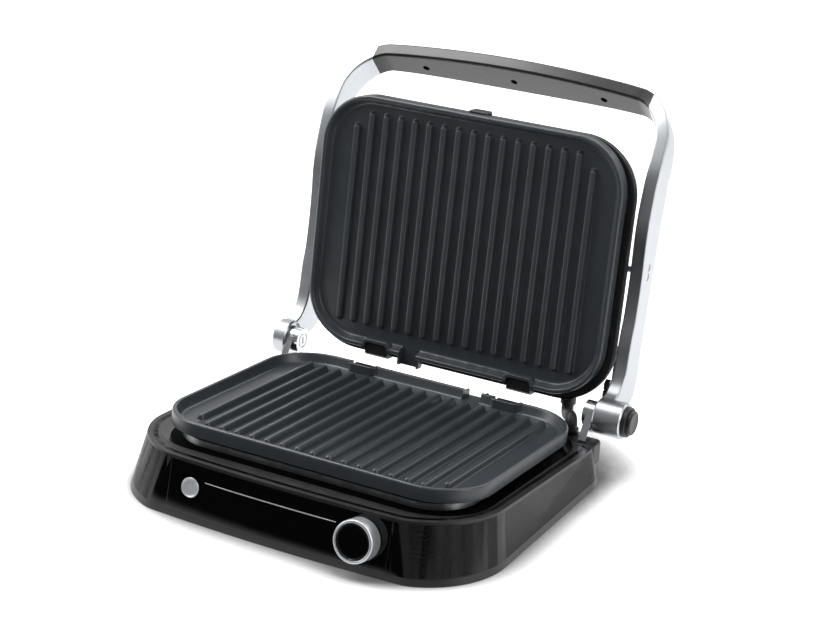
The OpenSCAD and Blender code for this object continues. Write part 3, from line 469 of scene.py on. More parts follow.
# The mouth of the well lies under the plate, so that the deck closes round it.
mouth = prism(mouth_half, mouth_front, mouth_rear, mouth_corner, mouth_corner, -well_deep, 50 * MM)
combine(casing, place(mouth, on_plate))
combine(casing, block((-200 * MM, tray_front - slide_gap, 0),
                      (-140 * MM, tray_rear + slide_gap, tray_low + tray_tall + slide_gap)))
# The rear edge of the deck is cut back under the sweep of the open lid.
combine(casing, side_prism(((130.4, 40), (130.4, 32), (136.8, 18.56), (180, 20), (180, 40)), 140 * MM))
settle(casing, "base_casing", "base", gloss_black, 30, ["base_shell"])

# Control panel.
# A separate bowed strip of gloss-black acrylic let into the front of the base,
# with a hairline gap round it, and a hair proud of it.
panel_seam, panel_proud = 0.2 * MM, 0.2 * MM
panel_glass = copy_finish(gloss_black, "gloss_black_acrylic")
panel = front_sheet(panel_half - panel_seam, panel_wall, deck_drop + panel_drop + panel_seam)
place(panel, Matrix.Translation((0, -panel_proud, 0)))
apply_modifier(panel, "BEVEL", width=0.25 * MM, segments=2, limit_method="ANGLE", angle_limit=radians(50))
settle(panel, "panel_strip", "base", panel_glass, 30, ["front_panel"])

# Cooking plates.
# Each is one pressure-cast aluminium plate, sprayed with a dark speckled
# non-stick coat: a raised lip, seventeen round-crowned ribs, two clip notches
# at the hinge edge and a pouring spout. The same casting is used twice.
rib_count, rib_pitch = 17, 14.5 * MM
rib_length, rib_short, rib_half = 196 * MM, 12.8 * MM, 3.6 * MM
plate_half, plate_free, plate_rear, plate_corner = 147 * MM, -15 * MM, 215 * MM, 48 * MM
plate_under, rib_floor, lip_top = -8 * MM, -5 * MM, 3.6 * MM
notch_x, notch_half, notch_deep = 72 * MM, 12 * MM, 6 * MM
spout_x, spout_half, spout_reach = 39 * MM, 11 * MM, 9 * MM
# Outer side, crown and inner slope of the lip down to the floor: in, up.
lip_steps = ((0, 9.6), (0.5, 1.3), (0.9, 0.6), (1.0, 0.1), (1.0, -0.1), (0.6, -0.4), (0.4, -0.9),
             (1.1, -3.0), (1.0, -2.4), (0.8, -1.1), (1.2, -0.6), (1.6, -0.1))
# A rib's flared root, steep side and round crown: in, up.
rib_steps = ((0.5, 0.1), (0.4, 0.35), (0.35, 0.8), (0.7, 2.15), (0.4, 0.8), (0.45, 0.5), (0.6, 0.25),
             (0.5, 0.05))


def climb(steps):
    """Steps the selected face in and up, as a moulding's section does."""
    for inward, upward in steps:
        if inward:
            bpy.ops.mesh.inset(thickness=inward * MM, depth=upward * MM)
        else:
            rise(upward * MM)


def rib(x, start, end):
    """One round-ended, round-crowned rib that grows out of the floor."""
    flare = 1.0 * MM
    half = rib_half + flare
    made = pad(half, start - flare, end + flare, half, half, rib_floor, 10)
    climb(rib_steps)
    return place(made, Matrix.Translation((x, 0, 0)))


def notch_block(grow, low, high, corner):
    """The two rounded clip notches at the hinge edge, as one cutter."""
    both = []
    for x in (-notch_x, notch_x):
        made = prism(notch_half + grow, plate_rear - notch_deep - grow, plate_rear + 12 * MM,
                     corner, 1 * MM, low, high - low, 8)
        both.append(place(made, Matrix.Translation((x, 0, 0))))
    return join(*both)


def casting():
    """The whole plate, with the middle of its free rib ends at the origin."""
    made = pad(plate_half, plate_free, plate_rear, plate_corner, plate_corner, plate_under, 18)
    climb(lip_steps)
    face_outwards()
    lip_round = notch_block(3 * MM, plate_under, lip_top - 0.3 * MM, 6 * MM)
    apply_modifier(lip_round, "BEVEL", width=0.8 * MM, segments=3, limit_method="ANGLE",
                   angle_limit=radians(60))
    outside = prism(plate_half, plate_free, plate_rear, plate_corner, plate_corner, plate_under,
                    20 * MM, 18)
    combine(lip_round, outside, "INTERSECT")
    combine(made, lip_round, "UNION")
    chute = block((spout_x - spout_half, plate_rear - 3 * MM, plate_under),
                  (spout_x + spout_half, plate_rear + spout_reach, 1 * MM))
    apply_modifier(chute, "BEVEL", width=1.2 * MM, segments=3)
    combine(made, chute, "UNION")
    combine(made, notch_block(0, -4 * MM, 20 * MM, 4 * MM))
    channel = block((spout_x - spout_half + 2.2 * MM, plate_rear - 9 * MM, rib_floor + 0.05 * MM),
                    (spout_x + spout_half - 2.2 * MM, plate_rear + 20 * MM, 15 * MM))
    combine(made, channel)
    rows = []
    for i in range(rib_count):
        outer = i in (0, rib_count - 1)
        rows.append(rib((i - rib_count // 2) * rib_pitch, rib_short if outer else 0, rib_length))
    return join(made, *rows)


# Sprayed non-stick coat on cast aluminium: a warm near-black satin, with a fine
# pebble from the spray and pale mica specks.
coat, tree, where = new_finish("speckled_non_stick_coat", {"IOR": 1.55})
cloud = add(tree, "TexNoise", {"Vector": where, "Scale": 1 / (30 * MM), "Detail": 3.0})
tone = add(tree, "MixRGB", {"Fac": cloud, "Color1": "#32363a", "Color2": "#3d4247"})
# Real specks are about 0.1 mm; they are drawn 0.9 mm apart so that they show.
specks = add(tree, "TexVoronoi", {"Vector": where, "Scale": 1 / (0.9 * MM)})
fleck = add(tree, "ValToRGB", {"Fac": specks})
fleck.color_ramp.elements[0].position, fleck.color_ramp.elements[0].color = 0.06, (1, 1, 1, 1)
fleck.color_ramp.elements[1].position, fleck.color_ramp.elements[1].color = 0.16, (0, 0, 0, 1)
speckled = add(tree, "MixRGB", {"Fac": fleck, "Color1": tone, "Color2": "#515356"})
rough = add(tree, "MapRange", {"Value": cloud, "To Min": 0.27, "To Max": 0.36})
pebble = add(tree, "TexNoise", {"Vector": where, "Scale": 1 / (0.8 * MM), "Detail": 2.0})
spray = add(tree, "Bump", {"Height": pebble, "Strength": 0.35, "Distance": 0.12 * MM})
dress(tree, {"Base Color": speckled, "Roughness": rough, "Normal": spray})

joint_at = {joint["name"]: Vector(joint["pos_m"]) for joint in frame["joints"] if "pos_m" in joint}
lid_angle = radians(83.53)
pivot = joint_at["lid_tilt"]
pivot_along, pivot_back = 98 * MM, 30.6 * MM
on_lid = (Matrix.Translation(pivot) @ Matrix.Rotation(lid_angle, 4, "X")
          @ Matrix.Translation((0, -pivot_along, pivot_back)))
plate_over = on_lid @ Matrix.Translation((0, rib_length, 0)) @ Matrix.Rotation(pi, 4, "Z")

lower = casting()
clear()
lower.select_set(True)
bpy.context.view_layer.objects.active = lower
bpy.ops.object.duplicate()
upper = place(bpy.context.object, plate_over)
place(lower, on_plate)
settle(lower, "plate_lower", "base", coat, 40, ["lower_plate"])
settle(upper, "plate_upper", "lid", coat, 40, ["upper_plate"])

# Arms.
# Two flat aluminium blades rise from round barrels at the hinge and bend in
# over the grip; one bar, cast and brushed along its length, with its long
# edges broken by a small bright chamfer.
hinge = joint_at["lid_hinge"]
arm_inner, arm_width = 154.5 * MM, 12 * MM
barrel_right, barrel_left = 180 * MM, 167.5 * MM
grip_half = 137 * MM
slope = radians(46.5)
along = Vector((0, sin(slope), cos(slope)))
across = Vector((0, cos(slope), -sin(slope)))
# Front and back edge of the blade seen from the side, in mm, from the barrel up.
blade_edges = (((136, 66), (141, 40)), ((142.3, 68.3), (152, 44.8)), ((147, 71.5), (165, 48.4)),
               ((151.5, 76), (175, 52.4)), ((156, 83), (181.4, 60)), ((158.2, 90), (184.6, 72)),
               ((159.8, 98), (186.6, 87)), ((161.2, 106), (188.8, 102)), ((164, 118), (191.5, 117)),
               ((167.9, 130.9), (194.7, 131.9)), ((172.3, 157), (198.6, 154.5)),
               ((174.6, 180), (202.4, 176)), ((175.9, 200), (205.6, 196)),
               ((178.6, 218), (209.6, 213.5)), ((183, 233.8), (213, 228)),
               ((187.5, 247), (216, 240.5)), ((193.5, 260), (220.5, 250.5)))
# Round the corner: angle, and the bar's front and back across the slope, in mm.
turn_rows = ((15, -60.5, -33), (30, -62.5, -34), (42, -62.8, -34.8), (54, -62.5, -35.4),
             (66, -62.3, -35.8), (78, -62.6, -35.8), (90, -63.2, -35.2))
# Along the grip: way out from the middle, front and back across the slope, in mm.
grip_rows = ((100, -64.2, -34.5), (75, -65.5, -33.6), (50, -66.5, -32.6), (25, -67.2, -31.9),
             (0, -67.4, -31.7))
turn_middle, turn_reach = (120 * MM, 328 * MM), (46.5 * MM, 64 * MM)
bar_thick, grip_top, grip_sag = 13.3 * MM, 396 * MM, 2.5 * MM


def blade_row(edges):
    """Middle, two half widths and corner radius of the blade at a pair of edges."""
    ahead, behind = (Vector((arm_inner + arm_width / 2, e[0] * MM, e[1] * MM)) for e in edges)
    half = (behind - ahead) / 2
    return [(ahead + behind) / 2, Vector((arm_width / 2, 0, 0)), half, 1.4 * MM]


def slope_row(outer, inner, front, rear, corner):
    """The same for the bar where it lies in the sloping plane of the grip."""
    centre = Vector(((outer[0] + inner[0]) / 2, 0, 0)) + (outer[1] + inner[1]) / 2 * along
    wide = Vector(((outer[0] - inner[0]) / 2, 0, 0)) + (outer[1] - inner[1]) / 2 * along
    return [centre + (front + rear) / 2 * MM * across, wide, (rear - front) / 2 * MM * across, corner]


def turn_row(angle, front, rear):
    """The bar's section at an angle of the bend."""
    c, s = cos(radians(angle)), sin(radians(angle))
    outer = (turn_middle[0] + turn_reach[0] * c, turn_middle[1] + turn_reach[1] * s)
    inner = (turn_middle[0] + (turn_reach[0] - arm_width) * c,
             turn_middle[1] + (turn_reach[1] - bar_thick) * s)
    return slope_row(outer, inner, front, rear, (1.6 + angle / 90) * MM)


def grip_row(x, front, rear):
    """The bar's section at a way out along the grip."""
    top = grip_top - grip_sag * (x / 100) ** 2
    return slope_row((x * MM, top), (x * MM, top - bar_thick), front, rear, 2.6 * MM)


def between(rows, steps):
    """A smooth run of rows through the given ones."""
    smooth = []
    for i in range(len(rows) - 1):
        a, b, c, d = rows[max(i - 1, 0)], rows[i], rows[i + 1], rows[min(i + 2, len(rows) - 1)]
        for t in (step / steps for step in range(steps)):
            smooth.append([0.5 * (2 * q + (r - p) * t + (2 * p - 5 * q + 4 * r - s) * t ** 2
                                  + (3 * q - p - 3 * r + s) * t ** 3)
                           for p, q, r, s in zip(a, b, c, d)])
    return smooth + [rows[-1]]


def hoop(centre, wide, deep, corner, steps=4):
    """One ring of a bar: a rectangle with round corners, as a loop of edges."""
    clear()
    bpy.ops.mesh.primitive_circle_add(vertices=4 * (steps + 1), radius=1)
    ring = bpy.context.object
    across_unit, deep_unit = wide.normalized(), deep.normalized()
    for k in range(4):
        for step in range(steps + 1):
            turn = pi / 2 * (k + step / steps)
            w = (wide.length - corner) * (1 if k in (0, 3) else -1) + corner * cos(turn)
            d = (deep.length - corner) * (1 if k < 2 else -1) + corner * sin(turn)
            ring.data.vertices[k * (steps + 1) + step].co = centre + across_unit * w + deep_unit * d
    return ring


def loft(rings):
    """A closed skin over a run of rings."""
    made = join(*rings)
    edit(made)
    bpy.ops.mesh.bridge_edge_loops()
    bpy.ops.mesh.select_all(action="SELECT")
    bpy.ops.mesh.fill_holes(sides=0)
    face_outwards()
    clear()
    return made


def trimmed(made, x, keep_above):
    """Cuts a bar square at an x and keeps one side."""
    edit(made)
    bpy.ops.mesh.bisect(plane_co=(x, 0, 0), plane_no=(1, 0, 0), use_fill=True,
                        clear_inner=keep_above, clear_outer=not keep_above)
    clear()
    return made


def round_bar(profile, segments=64):
    """A turned piece about +Z: radius and height of each step in mm, closed at both ends."""
    clear()
    bpy.ops.mesh.primitive_circle_add(vertices=segments, radius=profile[0][0] * MM,
                                      location=(0, 0, profile[0][1] * MM), fill_type="NGON")
    made = bpy.context.object
    bpy.ops.object.transform_apply(location=True)
    edit(made)
    for (r0, h0), (r1, h1) in zip(profile, profile[1:]):
        rise((h1 - h0) * MM, r1 / r0)
    face_outwards()
    clear()
    return made


def on_axis(x, y, z, outward=1):
    """Stands a turned piece on the X axis through a point, growing outwards from x."""
    return Matrix.Translation((x, y, z)) @ Matrix.Rotation(outward * pi / 2, 4, "Y")


bar_rows = between([blade_row(e) for e in blade_edges] + [turn_row(*t) for t in turn_rows]
                   + [grip_row(*g) for g in grip_rows[:2]], 3)
# Aluminium brushed with a fine belt along the bar: cool pale metal with long,
# thin scratches that spread its highlights across the brushing.
brushed, tree, where = new_finish("brushed_aluminium", {"Metallic": 1.0})
# Scratches are about 0.05 mm wide; they are drawn 0.5 mm wide and 60 mm long.
stretch = add(tree, "Mapping", {"Vector": where, "Rotation": (radians(-8), 0, 0),
                                "Scale": (1 / (0.5 * MM), 1 / (0.5 * MM), 1 / (60 * MM))})
scratch = add(tree, "TexNoise", {"Vector": stretch, "Scale": 1.0, "Detail": 3.0})
tone = add(tree, "MixRGB", {"Fac": scratch, "Color1": "#a9adb1", "Color2": "#c9ccd0"})
rough = add(tree, "MapRange", {"Value": scratch, "To Min": 0.24, "To Max": 0.42})
lines = add(tree, "Bump", {"Height": scratch, "Strength": 0.12, "Distance": 0.05 * MM})
dress(tree, {"Base Color": tone, "Roughness": rough, "Normal": lines})

# The barrels are turned, so their lines run round the axis instead.
turned_metal = copy_finish(brushed, "turned_aluminium",
                           Scale=(1 / (0.35 * MM), 1 / (40 * MM), 1 / (40 * MM)))

for side, name, reach in ((1, "right", barrel_right), (-1, "left", barrel_left)):
    flip = Matrix.Diagonal((side, 1, 1, 1))
    blade = place(trimmed(loft([hoop(*row) for row in bar_rows]), grip_half, True), flip)
    barrel = round_bar(((14.8, 0), (16, 1.2), (16, (reach - arm_inner) / MM - 1.2),
                        (14.8, (reach - arm_inner) / MM)))
    barrel = place(barrel, on_axis(side * arm_inner, hinge.y, hinge.z, side))
    for made in (blade, barrel):
        edit(made)
        face_outwards()
        clear()
    slot_cut = join(*[place(round_bar(((3.5, 0), (3.5, 3))),
                            on_axis(side * (arm_inner + arm_width - 1.2 * MM), pivot.y + 4 * MM * c,
                                    pivot.z + 4 * MM * s, side))
                      for c, s in ((0.17, 0.99), (-0.17, -0.99))])
    combine(blade, slot_cut)
    settle(blade, "blade_" + name, "arms", brushed, 30,
           ["arm_" + name])
    settle(barrel, "barrel_" + name, "arms", turned_metal, 30)

# Grip.
# The middle of the same bar is sleeved in black satin polyamide, flush with the
# arms, and held by three screws from below.
# Glass-filled polyamide from a satin mould: near black, with a soft broad sheen
# and a very fine grain.
grip_black, tree, where = new_finish("satin_black_polyamide", {"Base Color": "#161617", "IOR": 1.53})
grain = add(tree, "TexNoise", {"Vector": where, "Scale": 1 / (0.7 * MM), "Detail": 2.0})
worn = add(tree, "TexNoise", {"Vector": where, "Scale": 1 / (22 * MM), "Detail": 2.0})
rough = add(tree, "MapRange", {"Value": worn, "To Min": 0.2, "To Max": 0.32})
skin = add(tree, "Bump", {"Height": grain, "Strength": 0.15, "Distance": 0.06 * MM})
dress(tree, {"Roughness": rough, "Normal": skin})

half_rows = between([turn_row(*t) for t in turn_rows[2:]] + [grip_row(*g) for g in grip_rows], 4)
mirrored_rows = [[Vector((-row[0].x, row[0].y, row[0].z)), Vector((-row[1].x, row[1].y, row[1].z)),
                  row[2], row[3]] for row in reversed(half_rows[:-1])]
handle = loft([hoop(*row) for row in half_rows + mirrored_rows])
handle = trimmed(trimmed(handle, grip_half, False), -grip_half, True)
screw_out, screw_side, screw_under = 88.7 * MM, -47.8 * MM, 4 * MM
bore_radius, bore_deep = 3.2, 7
for x in (-screw_out, 0, screw_out):
    under = Vector((x, 0, 0)) + (grip_top - bar_thick - screw_under) * along + screw_side * across
    bore = round_bar(((bore_radius, 0), (bore_radius, bore_deep)))
    combine(handle, place(bore, Matrix.Translation(under) @ Matrix.Rotation(-slope, 4, "X")))
settle(handle, "grip_sleeve", "arms", grip_black, 30, ["grip"])

# Controls.
# A brushed silver power button, a row of light dots behind the panel, and a
# turned silver knob ring round a gloss-black push face.
knob_at = Vector((78 * MM, 0, 27 * MM))
knob_at.y = front_y(knob_at.x, knob_at.z)
button_at = Vector((-80.4 * MM, 0, 27.6 * MM))
button_at.y = front_y(button_at.x, button_at.z)


def on_panel(spot):
    """The place of a control: +Z looks out of the panel, square to its face."""
    return Matrix.Translation(spot) @ Matrix.Rotation(pi / 2 - panel_lean, 4, "X")


# Anodised aluminium, face-turned: pale metal with fine rings round its middle
# and a soft, wide highlight.
satin_silver, tree, where = new_finish("satin_silver_aluminium", {"Metallic": 0.75})
centred = add(tree, "Mapping", {"Vector": where, "Location": tuple(-knob_at)})
# Turning rings are about 0.1 mm apart; they are drawn 0.6 mm apart.
rings = add(tree, "TexWave", {"Vector": centred, "Scale": 1 / (12 * MM),
                              "Distortion": 0.6, "Detail": 1.0}, wave_type="RINGS",
            rings_direction="SPHERICAL")
dusty = add(tree, "TexNoise", {"Vector": where, "Scale": 1 / (1.5 * MM), "Detail": 3.0})
tone = add(tree, "MixRGB", {"Fac": dusty, "Color1": "#cdd1d5", "Color2": "#e2e5e8"})
rough = add(tree, "MapRange", {"Value": rings.outputs["Fac"], "To Min": 0.28, "To Max": 0.4})
lines = add(tree, "Bump", {"Height": rings.outputs["Fac"], "Strength": 0.1, "Distance": 0.05 * MM})
dress(tree, {"Base Color": tone, "Roughness": rough, "Normal": lines})

# Side, rounded front edge, flat front ring, bright chamfer and the bore for the face.
ring = round_bar(((15.0, 0.8), (17.3, 0.8), (17.3, 13.2), (17.15, 13.8), (16.8, 14.25), (16.3, 14.5),
                  (15.3, 14.5), (15.0, 14.35), (14.85, 14.0), (14.8, 13.6), (14.8, 11)), 128)
inlay = round_bar(((15.0, 12), (14.85, 14.0), (14.6, 14.1), (14.1, 13.9), (13.75, 13.5), (13.55, 12.6),
                   (13.55, 10.5)), 128)
settle(place(ring, on_panel(knob_at)), "knob_collar", "knob", satin_silver, 25,
       ["knob_ring"])
face_black = copy_finish(panel_glass, "gloss_black_push_face")
settle(place(inlay, on_panel(knob_at)), "knob_inlay", "knob", face_black, 25)
face = round_bar(((13.4, 11.9), (13.4, 13.3), (13.2, 13.7), (12.8, 13.85), (6, 13.75), (0.01, 13.7)), 96)
stem = round_bar(((2.5, 7.3), (2.5, 12.3)), 32)
settle(place(join(face, stem), on_panel(knob_at)), "knob_face_disc", "knob_face", face_black,
       30, ["knob_cap"])

# The button is a shallow dish with a raised, polished rim.
disc = round_bar(((8.2, -2.6), (8.2, 0.85), (8.05, 1.1), (7.75, 1.2), (7.35, 1.2), (7.1, 1.0),
                  (6.9, 0.85), (3, 0.75), (0.01, 0.72)), 96)
stem = round_bar(((3, -6), (3, -2.5)), 32)
button_silver = copy_finish(satin_silver, "satin_silver_button", Location=-button_at)
settle(place(join(disc, stem), on_panel(button_at)), "power_disc", "power", button_silver,
       25, ["power_button"])

# Clear acrylic over white lamps: a white that glows a little, cloudy inside.
lamp_white, tree, where = new_finish("white_light_guide", {"Base Color": "#e8ecef", "Roughness": 0.3,
                                                           "Emission Color": "#ffffff"})
cloudy = add(tree, "TexNoise", {"Vector": where, "Scale": 1 / (0.8 * MM)})
glow = add(tree, "MapRange", {"Value": cloudy, "To Min": 0.7, "To Max": 1.0})
dress(tree, {"Emission Strength": glow})
light_count, light_first, light_last, light_z = 53, -66.5 * MM, 54 * MM, 34.6 * MM
dots = []
for i in range(light_count):
    x = light_first + i * (light_last - light_first) / (light_count - 1)
    dot = round_bar(((0.38, -1.2), (0.38, 0.25), (0.3, 0.32)), 16)
    dots.append(place(dot, on_panel(Vector((x, front_y(x, light_z), light_z)))))
settle(join(*dots), "light_dots", "base", lamp_white, 30, ["light_guide"])

# Small mouldings.
# The clips, shoulders, glands, well, tray and bottom are injection-moulded in
# black glass-filled nylon, with a fine spark-eroded grain on every face.
# Black nylon with an eroded mould grain: dark, satin, paler where it is rubbed.
moulded, tree, where = new_finish("grained_black_nylon", {"IOR": 1.5})
rubbed = add(tree, "TexNoise", {"Vector": where, "Scale": 1 / (11 * MM), "Detail": 4.0})
tone = add(tree, "MixRGB", {"Fac": rubbed, "Color1": "#101011", "Color2": "#1b1b1d"})
rough = add(tree, "MapRange", {"Value": rubbed, "To Min": 0.3, "To Max": 0.5})
# The real grain is about 0.1 mm; it is drawn at 0.5 mm.
grain = add(tree, "TexNoise", {"Vector": where, "Scale": 1 / (0.5 * MM), "Detail": 2.0})
skin = add(tree, "Bump", {"Height": grain, "Strength": 0.25, "Distance": 0.06 * MM})
dress(tree, {"Base Color": tone, "Roughness": rough, "Normal": skin})


def soften(nodes, finish, width=0.4, angle=35):
    """Gives nodes their material, and moulded edges by modifiers alone."""
    for made in (frame["nodes"][node] for node in nodes):
        made.data.materials.clear()
        made.data.materials.append(finish)
        made.modifiers.new("weld", "WELD").merge_threshold = 0.005 * MM
        edge = made.modifiers.new("edge", "BEVEL")
        edge.width = width * MM
        edge.segments = 3
        edge.limit_method = "ANGLE"
        edge.angle_limit = radians(angle)
        edge.harden_normals = False
        made.modifiers.new("even", "WEIGHTED_NORMAL").keep_sharp = True


soften(("lower_clips", "upper_clips", "base_well", "sleeve_gland", "lid_gland", "lid_stud",
        "stay_knob", "cord_gland", "drip_tray", "base_bottom", "power_switch"), moulded)

# Shoulders.
# A black moulded block covers the foot of each hinge post, with soft corners.
# It is cut to the base, the well and the slot that the post stands in.
shoulder_x, shoulder_half, shoulder_front, shoulder_rear = 152.5 * MM, 10.7 * MM, 102.8 * MM, 123.7 * MM
shoulder_low, shoulder_corner = 15 * MM, 5 * MM
strap_in, strap_out, strap_front, strap_rear = 147.5 * MM, 154.2 * MM, 106.5 * MM, 119.5 * MM
well_half, well_front, well_rear, well_corner = 152 * MM, -26.7 * MM, 219.4 * MM, 52 * MM
for side, name in ((1, "right"), (-1, "left")):
    shoulder = pad(shoulder_half, shoulder_front, shoulder_rear, shoulder_corner, shoulder_corner,
                   shoulder_low, 10)
    climb(((-1.3, 0.1), (-0.8, 0.4), (-0.5, 0.9), (-0.2, 1.2)))
    climb(((0, 14.0), (0.3, 1.1), (0.7, 0.8), (1.2, 0.4), (1.6, 0.1)))
    face_outwards()
    shoulder = place(shoulder, Matrix.Translation((side * shoulder_x, 0, 0)))
    combine(shoulder, base_block(0, deck_drop, 0))
    combine(shoulder, place(prism(well_half, well_front, well_rear, well_corner, well_corner,
                                  -well_deep, 20 * MM + well_deep), on_plate))
    ends = sorted((side * strap_in, side * strap_out))
    combine(shoulder, block((ends[0], strap_front, 0), (ends[1], strap_rear, 60 * MM)))
    settle(shoulder, "shoulder_cap_" + name, "base", moulded, 35,
           ["shoulder_" + name])

# Hinge posts and pins.
# Each post is a polished stainless strap with an eye, and carries a slotted
# shoulder pin that the arm's barrel turns on.
# Polished stainless steel with fine wheel lines and faint handling haze.
polished, tree, where = new_finish("polished_stainless_steel", {"Metallic": 1.0, "Base Color": "#cfd1d4"})
haze = add(tree, "TexNoise", {"Vector": where, "Scale": 1 / (6 * MM), "Detail": 5.0})
rough = add(tree, "MapRange", {"Value": haze, "To Min": 0.1, "To Max": 0.24})
wheel = add(tree, "Mapping", {"Vector": where, "Scale": (1 / (6 * MM), 1 / (6 * MM), 1 / (0.4 * MM))})
wheel_lines = add(tree, "TexNoise", {"Vector": wheel, "Scale": 1.0})
skin = add(tree, "Bump", {"Height": wheel_lines, "Strength": 0.08, "Distance": 0.05 * MM})
dress(tree, {"Roughness": rough, "Normal": skin})
soften(("hinge_post_left", "hinge_post_right", "hinge_pin_left", "hinge_pin_right"), polished, 0.5, 30)
soften(("pivot_pins", "knob_shaft"), polished, 0.3, 30)

# Hinge cap, collar and release button.
# A pressed cap closes the left barrel; on the right a black collar holds the
# round button that frees the lid to lie flat.
cap = round_bar(((13.5, 0), (13.4, 0.7), (13.0, 1.25), (12.4, 1.5), (9.2, 1.5), (8.8, 1.25), (8.4, 1.2),
                 (0.01, 1.2)), 96)
settle(place(cap, on_axis(-barrel_left, hinge.y, hinge.z, -1)), "barrel_cap_left", "arms", turned_metal,
       25, ["hinge_cap"])
collar_seat, button_seat = barrel_right - 5 * MM, 174.2 * MM
collar = round_bar(((11.1, 0), (12.6, 0), (12.6, 5), (13.2, 5), (13.4, 5.4), (13.35, 8.2), (13.0, 8.8),
                    (12.5, 9), (11.5, 9), (11.1, 8.6)), 96)
combine(collar, round_bar(((11.1, -1), (11.1, 12)), 96))
settle(place(collar, on_axis(collar_seat, hinge.y, hinge.z)), "release_ring", "arms", moulded,
       25, ["release_collar"])
button = round_bar(((10.8, 0), (10.8, 12.0), (10.5, 12.9), (9.8, 13.4), (9.0, 13.6), (8.2, 13.5),
                    (7.6, 13.2), (4, 13.05), (0.01, 13.0)), 96)
settle(place(button, on_axis(button_seat, hinge.y, hinge.z)), "release_cap", "release", moulded,
       25, ["release_button"])

# Lid frame.
# The moulded black frame carries the upper plate: a flat rim with a rounded
# outer edge, screwed to the cover from inside.
frame_half, frame_low, frame_high, frame_corner = 153 * MM, -26 * MM, 210 * MM, 52 * MM
frame_drop, frame_back = 11 * MM, 17 * MM
pan_half, pan_front, pan_back, pan_corner = 136 * MM, -9 * MM, 205 * MM, 40 * MM
rim = pad(frame_half, frame_low, frame_high, frame_corner, frame_corner, -frame_back, 20)
climb(((0, 0.5), (0, 4.3), (0.25, 0.6), (0.6, 0.45), (0.9, 0.15)))
face_outwards()
clear()
mouth = prism(pan_half, pan_front, pan_back, pan_corner, pan_corner, -30 * MM, 40 * MM)
turn_over = Matrix.Translation((0, rib_length, 0)) @ Matrix.Rotation(pi, 4, "Z")
combine(rim, place(mouth, turn_over))
# Four rests inside the rim carry the plate.
rest_x, rest_wide, rest_long = 141 * MM, 6 * MM, 16 * MM
rests = []
for low_x in (-rest_x - rest_wide, rest_x):
    for u in (40 * MM, 150 * MM):
        rests.append(block((low_x, u, -frame_drop - 0.5 * MM),
                           (low_x + rest_wide, u + rest_long, plate_under)))
rim = join(rim, *rests)
settle(place(rim, on_lid), "lid_rim", "lid", moulded, 30, ["lid_frame"])

# Lid cover.
# The back of the lid is one deep-drawn brushed stainless shell, deepest by the
# hinge and falling away to the free edge.
brushed_steel = copy_finish(brushed, "brushed_stainless_steel",
                            Scale=(1 / (60 * MM), 1 / (0.5 * MM), 1 / (0.5 * MM)))
# Depth behind the rib crowns, half width, lower end, upper end and corner, in mm.
cover_slices = ((17, 151, -24, 208, 50), (24, 149.4, -20, 206.4, 48), (31, 147.8, -13, 204, 46),
                (36, 144.5, -4, 196, 44), (41.5, 138, 6, 140, 42), (44.5, 128, 20, 80, 30))

layers = [pad(half * MM, low * MM, high * MM, corner * MM, corner * MM, -deep * MM, 16)
          for deep, half, low, high, corner in between(cover_slices, 4)]
shell = join(*layers)
edit(shell)
bpy.ops.mesh.delete(type="ONLY_FACE")
bpy.ops.mesh.select_all(action="SELECT")
bpy.ops.mesh.bridge_edge_loops()
pick("edges", lambda p: p.z < (0.01 - cover_slices[-1][0]) * MM)
bpy.ops.mesh.edge_face_add()
face_outwards()
clear()
apply_modifier(shell, "SOLIDIFY", thickness=1 * MM, offset=-1)
settle(place(shell, on_lid), "lid_shell", "lid", brushed_steel, 50, ["lid_cover"])
soften(("pivot_brackets", "stay_bracket", "pivot_caps"), brushed_steel, 0.3)
soften(("plate_catch",), moulded, 0.3)

# Heaters and heat pans.
# Under each plate lies a folded sheathed element in a shallow aluminised pan.
# Nickel-steel tube browned by heat, with straw and blue patches.
sheath, tree, where = new_finish("oxidised_heater_sheath", {"Metallic": 1.0})
patches = add(tree, "TexNoise", {"Vector": where, "Scale": 1 / (25 * MM), "Detail": 4.0})
tint = add(tree, "ValToRGB", {"Fac": patches})
tint.color_ramp.elements[0].position, tint.color_ramp.elements[0].color = 0.35, linear("#4b4a52")
tint.color_ramp.elements[1].position, tint.color_ramp.elements[1].color = 0.65, linear("#7a6a55")
rough = add(tree, "MapRange", {"Value": patches, "To Min": 0.4, "To Max": 0.6})
dress(tree, {"Base Color": tint, "Roughness": rough})

# Hot-dipped sheet with a faint spangle of flat crystals, each its own grey.
spangled, tree, where = new_finish("aluminised_sheet_steel", {"Metallic": 1.0})
crystals = add(tree, "TexVoronoi", {"Vector": where, "Scale": 1 / (7 * MM)})
grey = add(tree, "RGBToBW", {"Color": crystals.outputs["Color"]})
tone = add(tree, "MixRGB", {"Fac": grey, "Color1": "#a9abad", "Color2": "#c6c8ca"})
rough = add(tree, "MapRange", {"Value": grey, "To Min": 0.25, "To Max": 0.45})
dress(tree, {"Base Color": tone, "Roughness": rough})
soften(("lower_element", "upper_element"), sheath, 0.2)
soften(("lower_pan", "upper_pan"), spangled, 0.2)

# Screws and the encoder's can.
# Zinc-plated steel, a little yellowed and dull.
# Passivated zinc: blue-grey metal with straw clouds and a dull, uneven shine.
zinc, tree, where = new_finish("zinc_plated_steel", {"Metallic": 1.0})
clouds = add(tree, "TexNoise", {"Vector": where, "Scale": 1 / (3 * MM), "Detail": 3.0})
tone = add(tree, "MixRGB", {"Fac": clouds, "Color1": "#8d9298", "Color2": "#a8a38f"})
rough = add(tree, "MapRange", {"Value": clouds, "To Min": 0.3, "To Max": 0.5})
dress(tree, {"Base Color": tone, "Roughness": rough})
soften(("bottom_screws", "frame_screws", "grip_screws", "encoder"), zinc, 0.25)

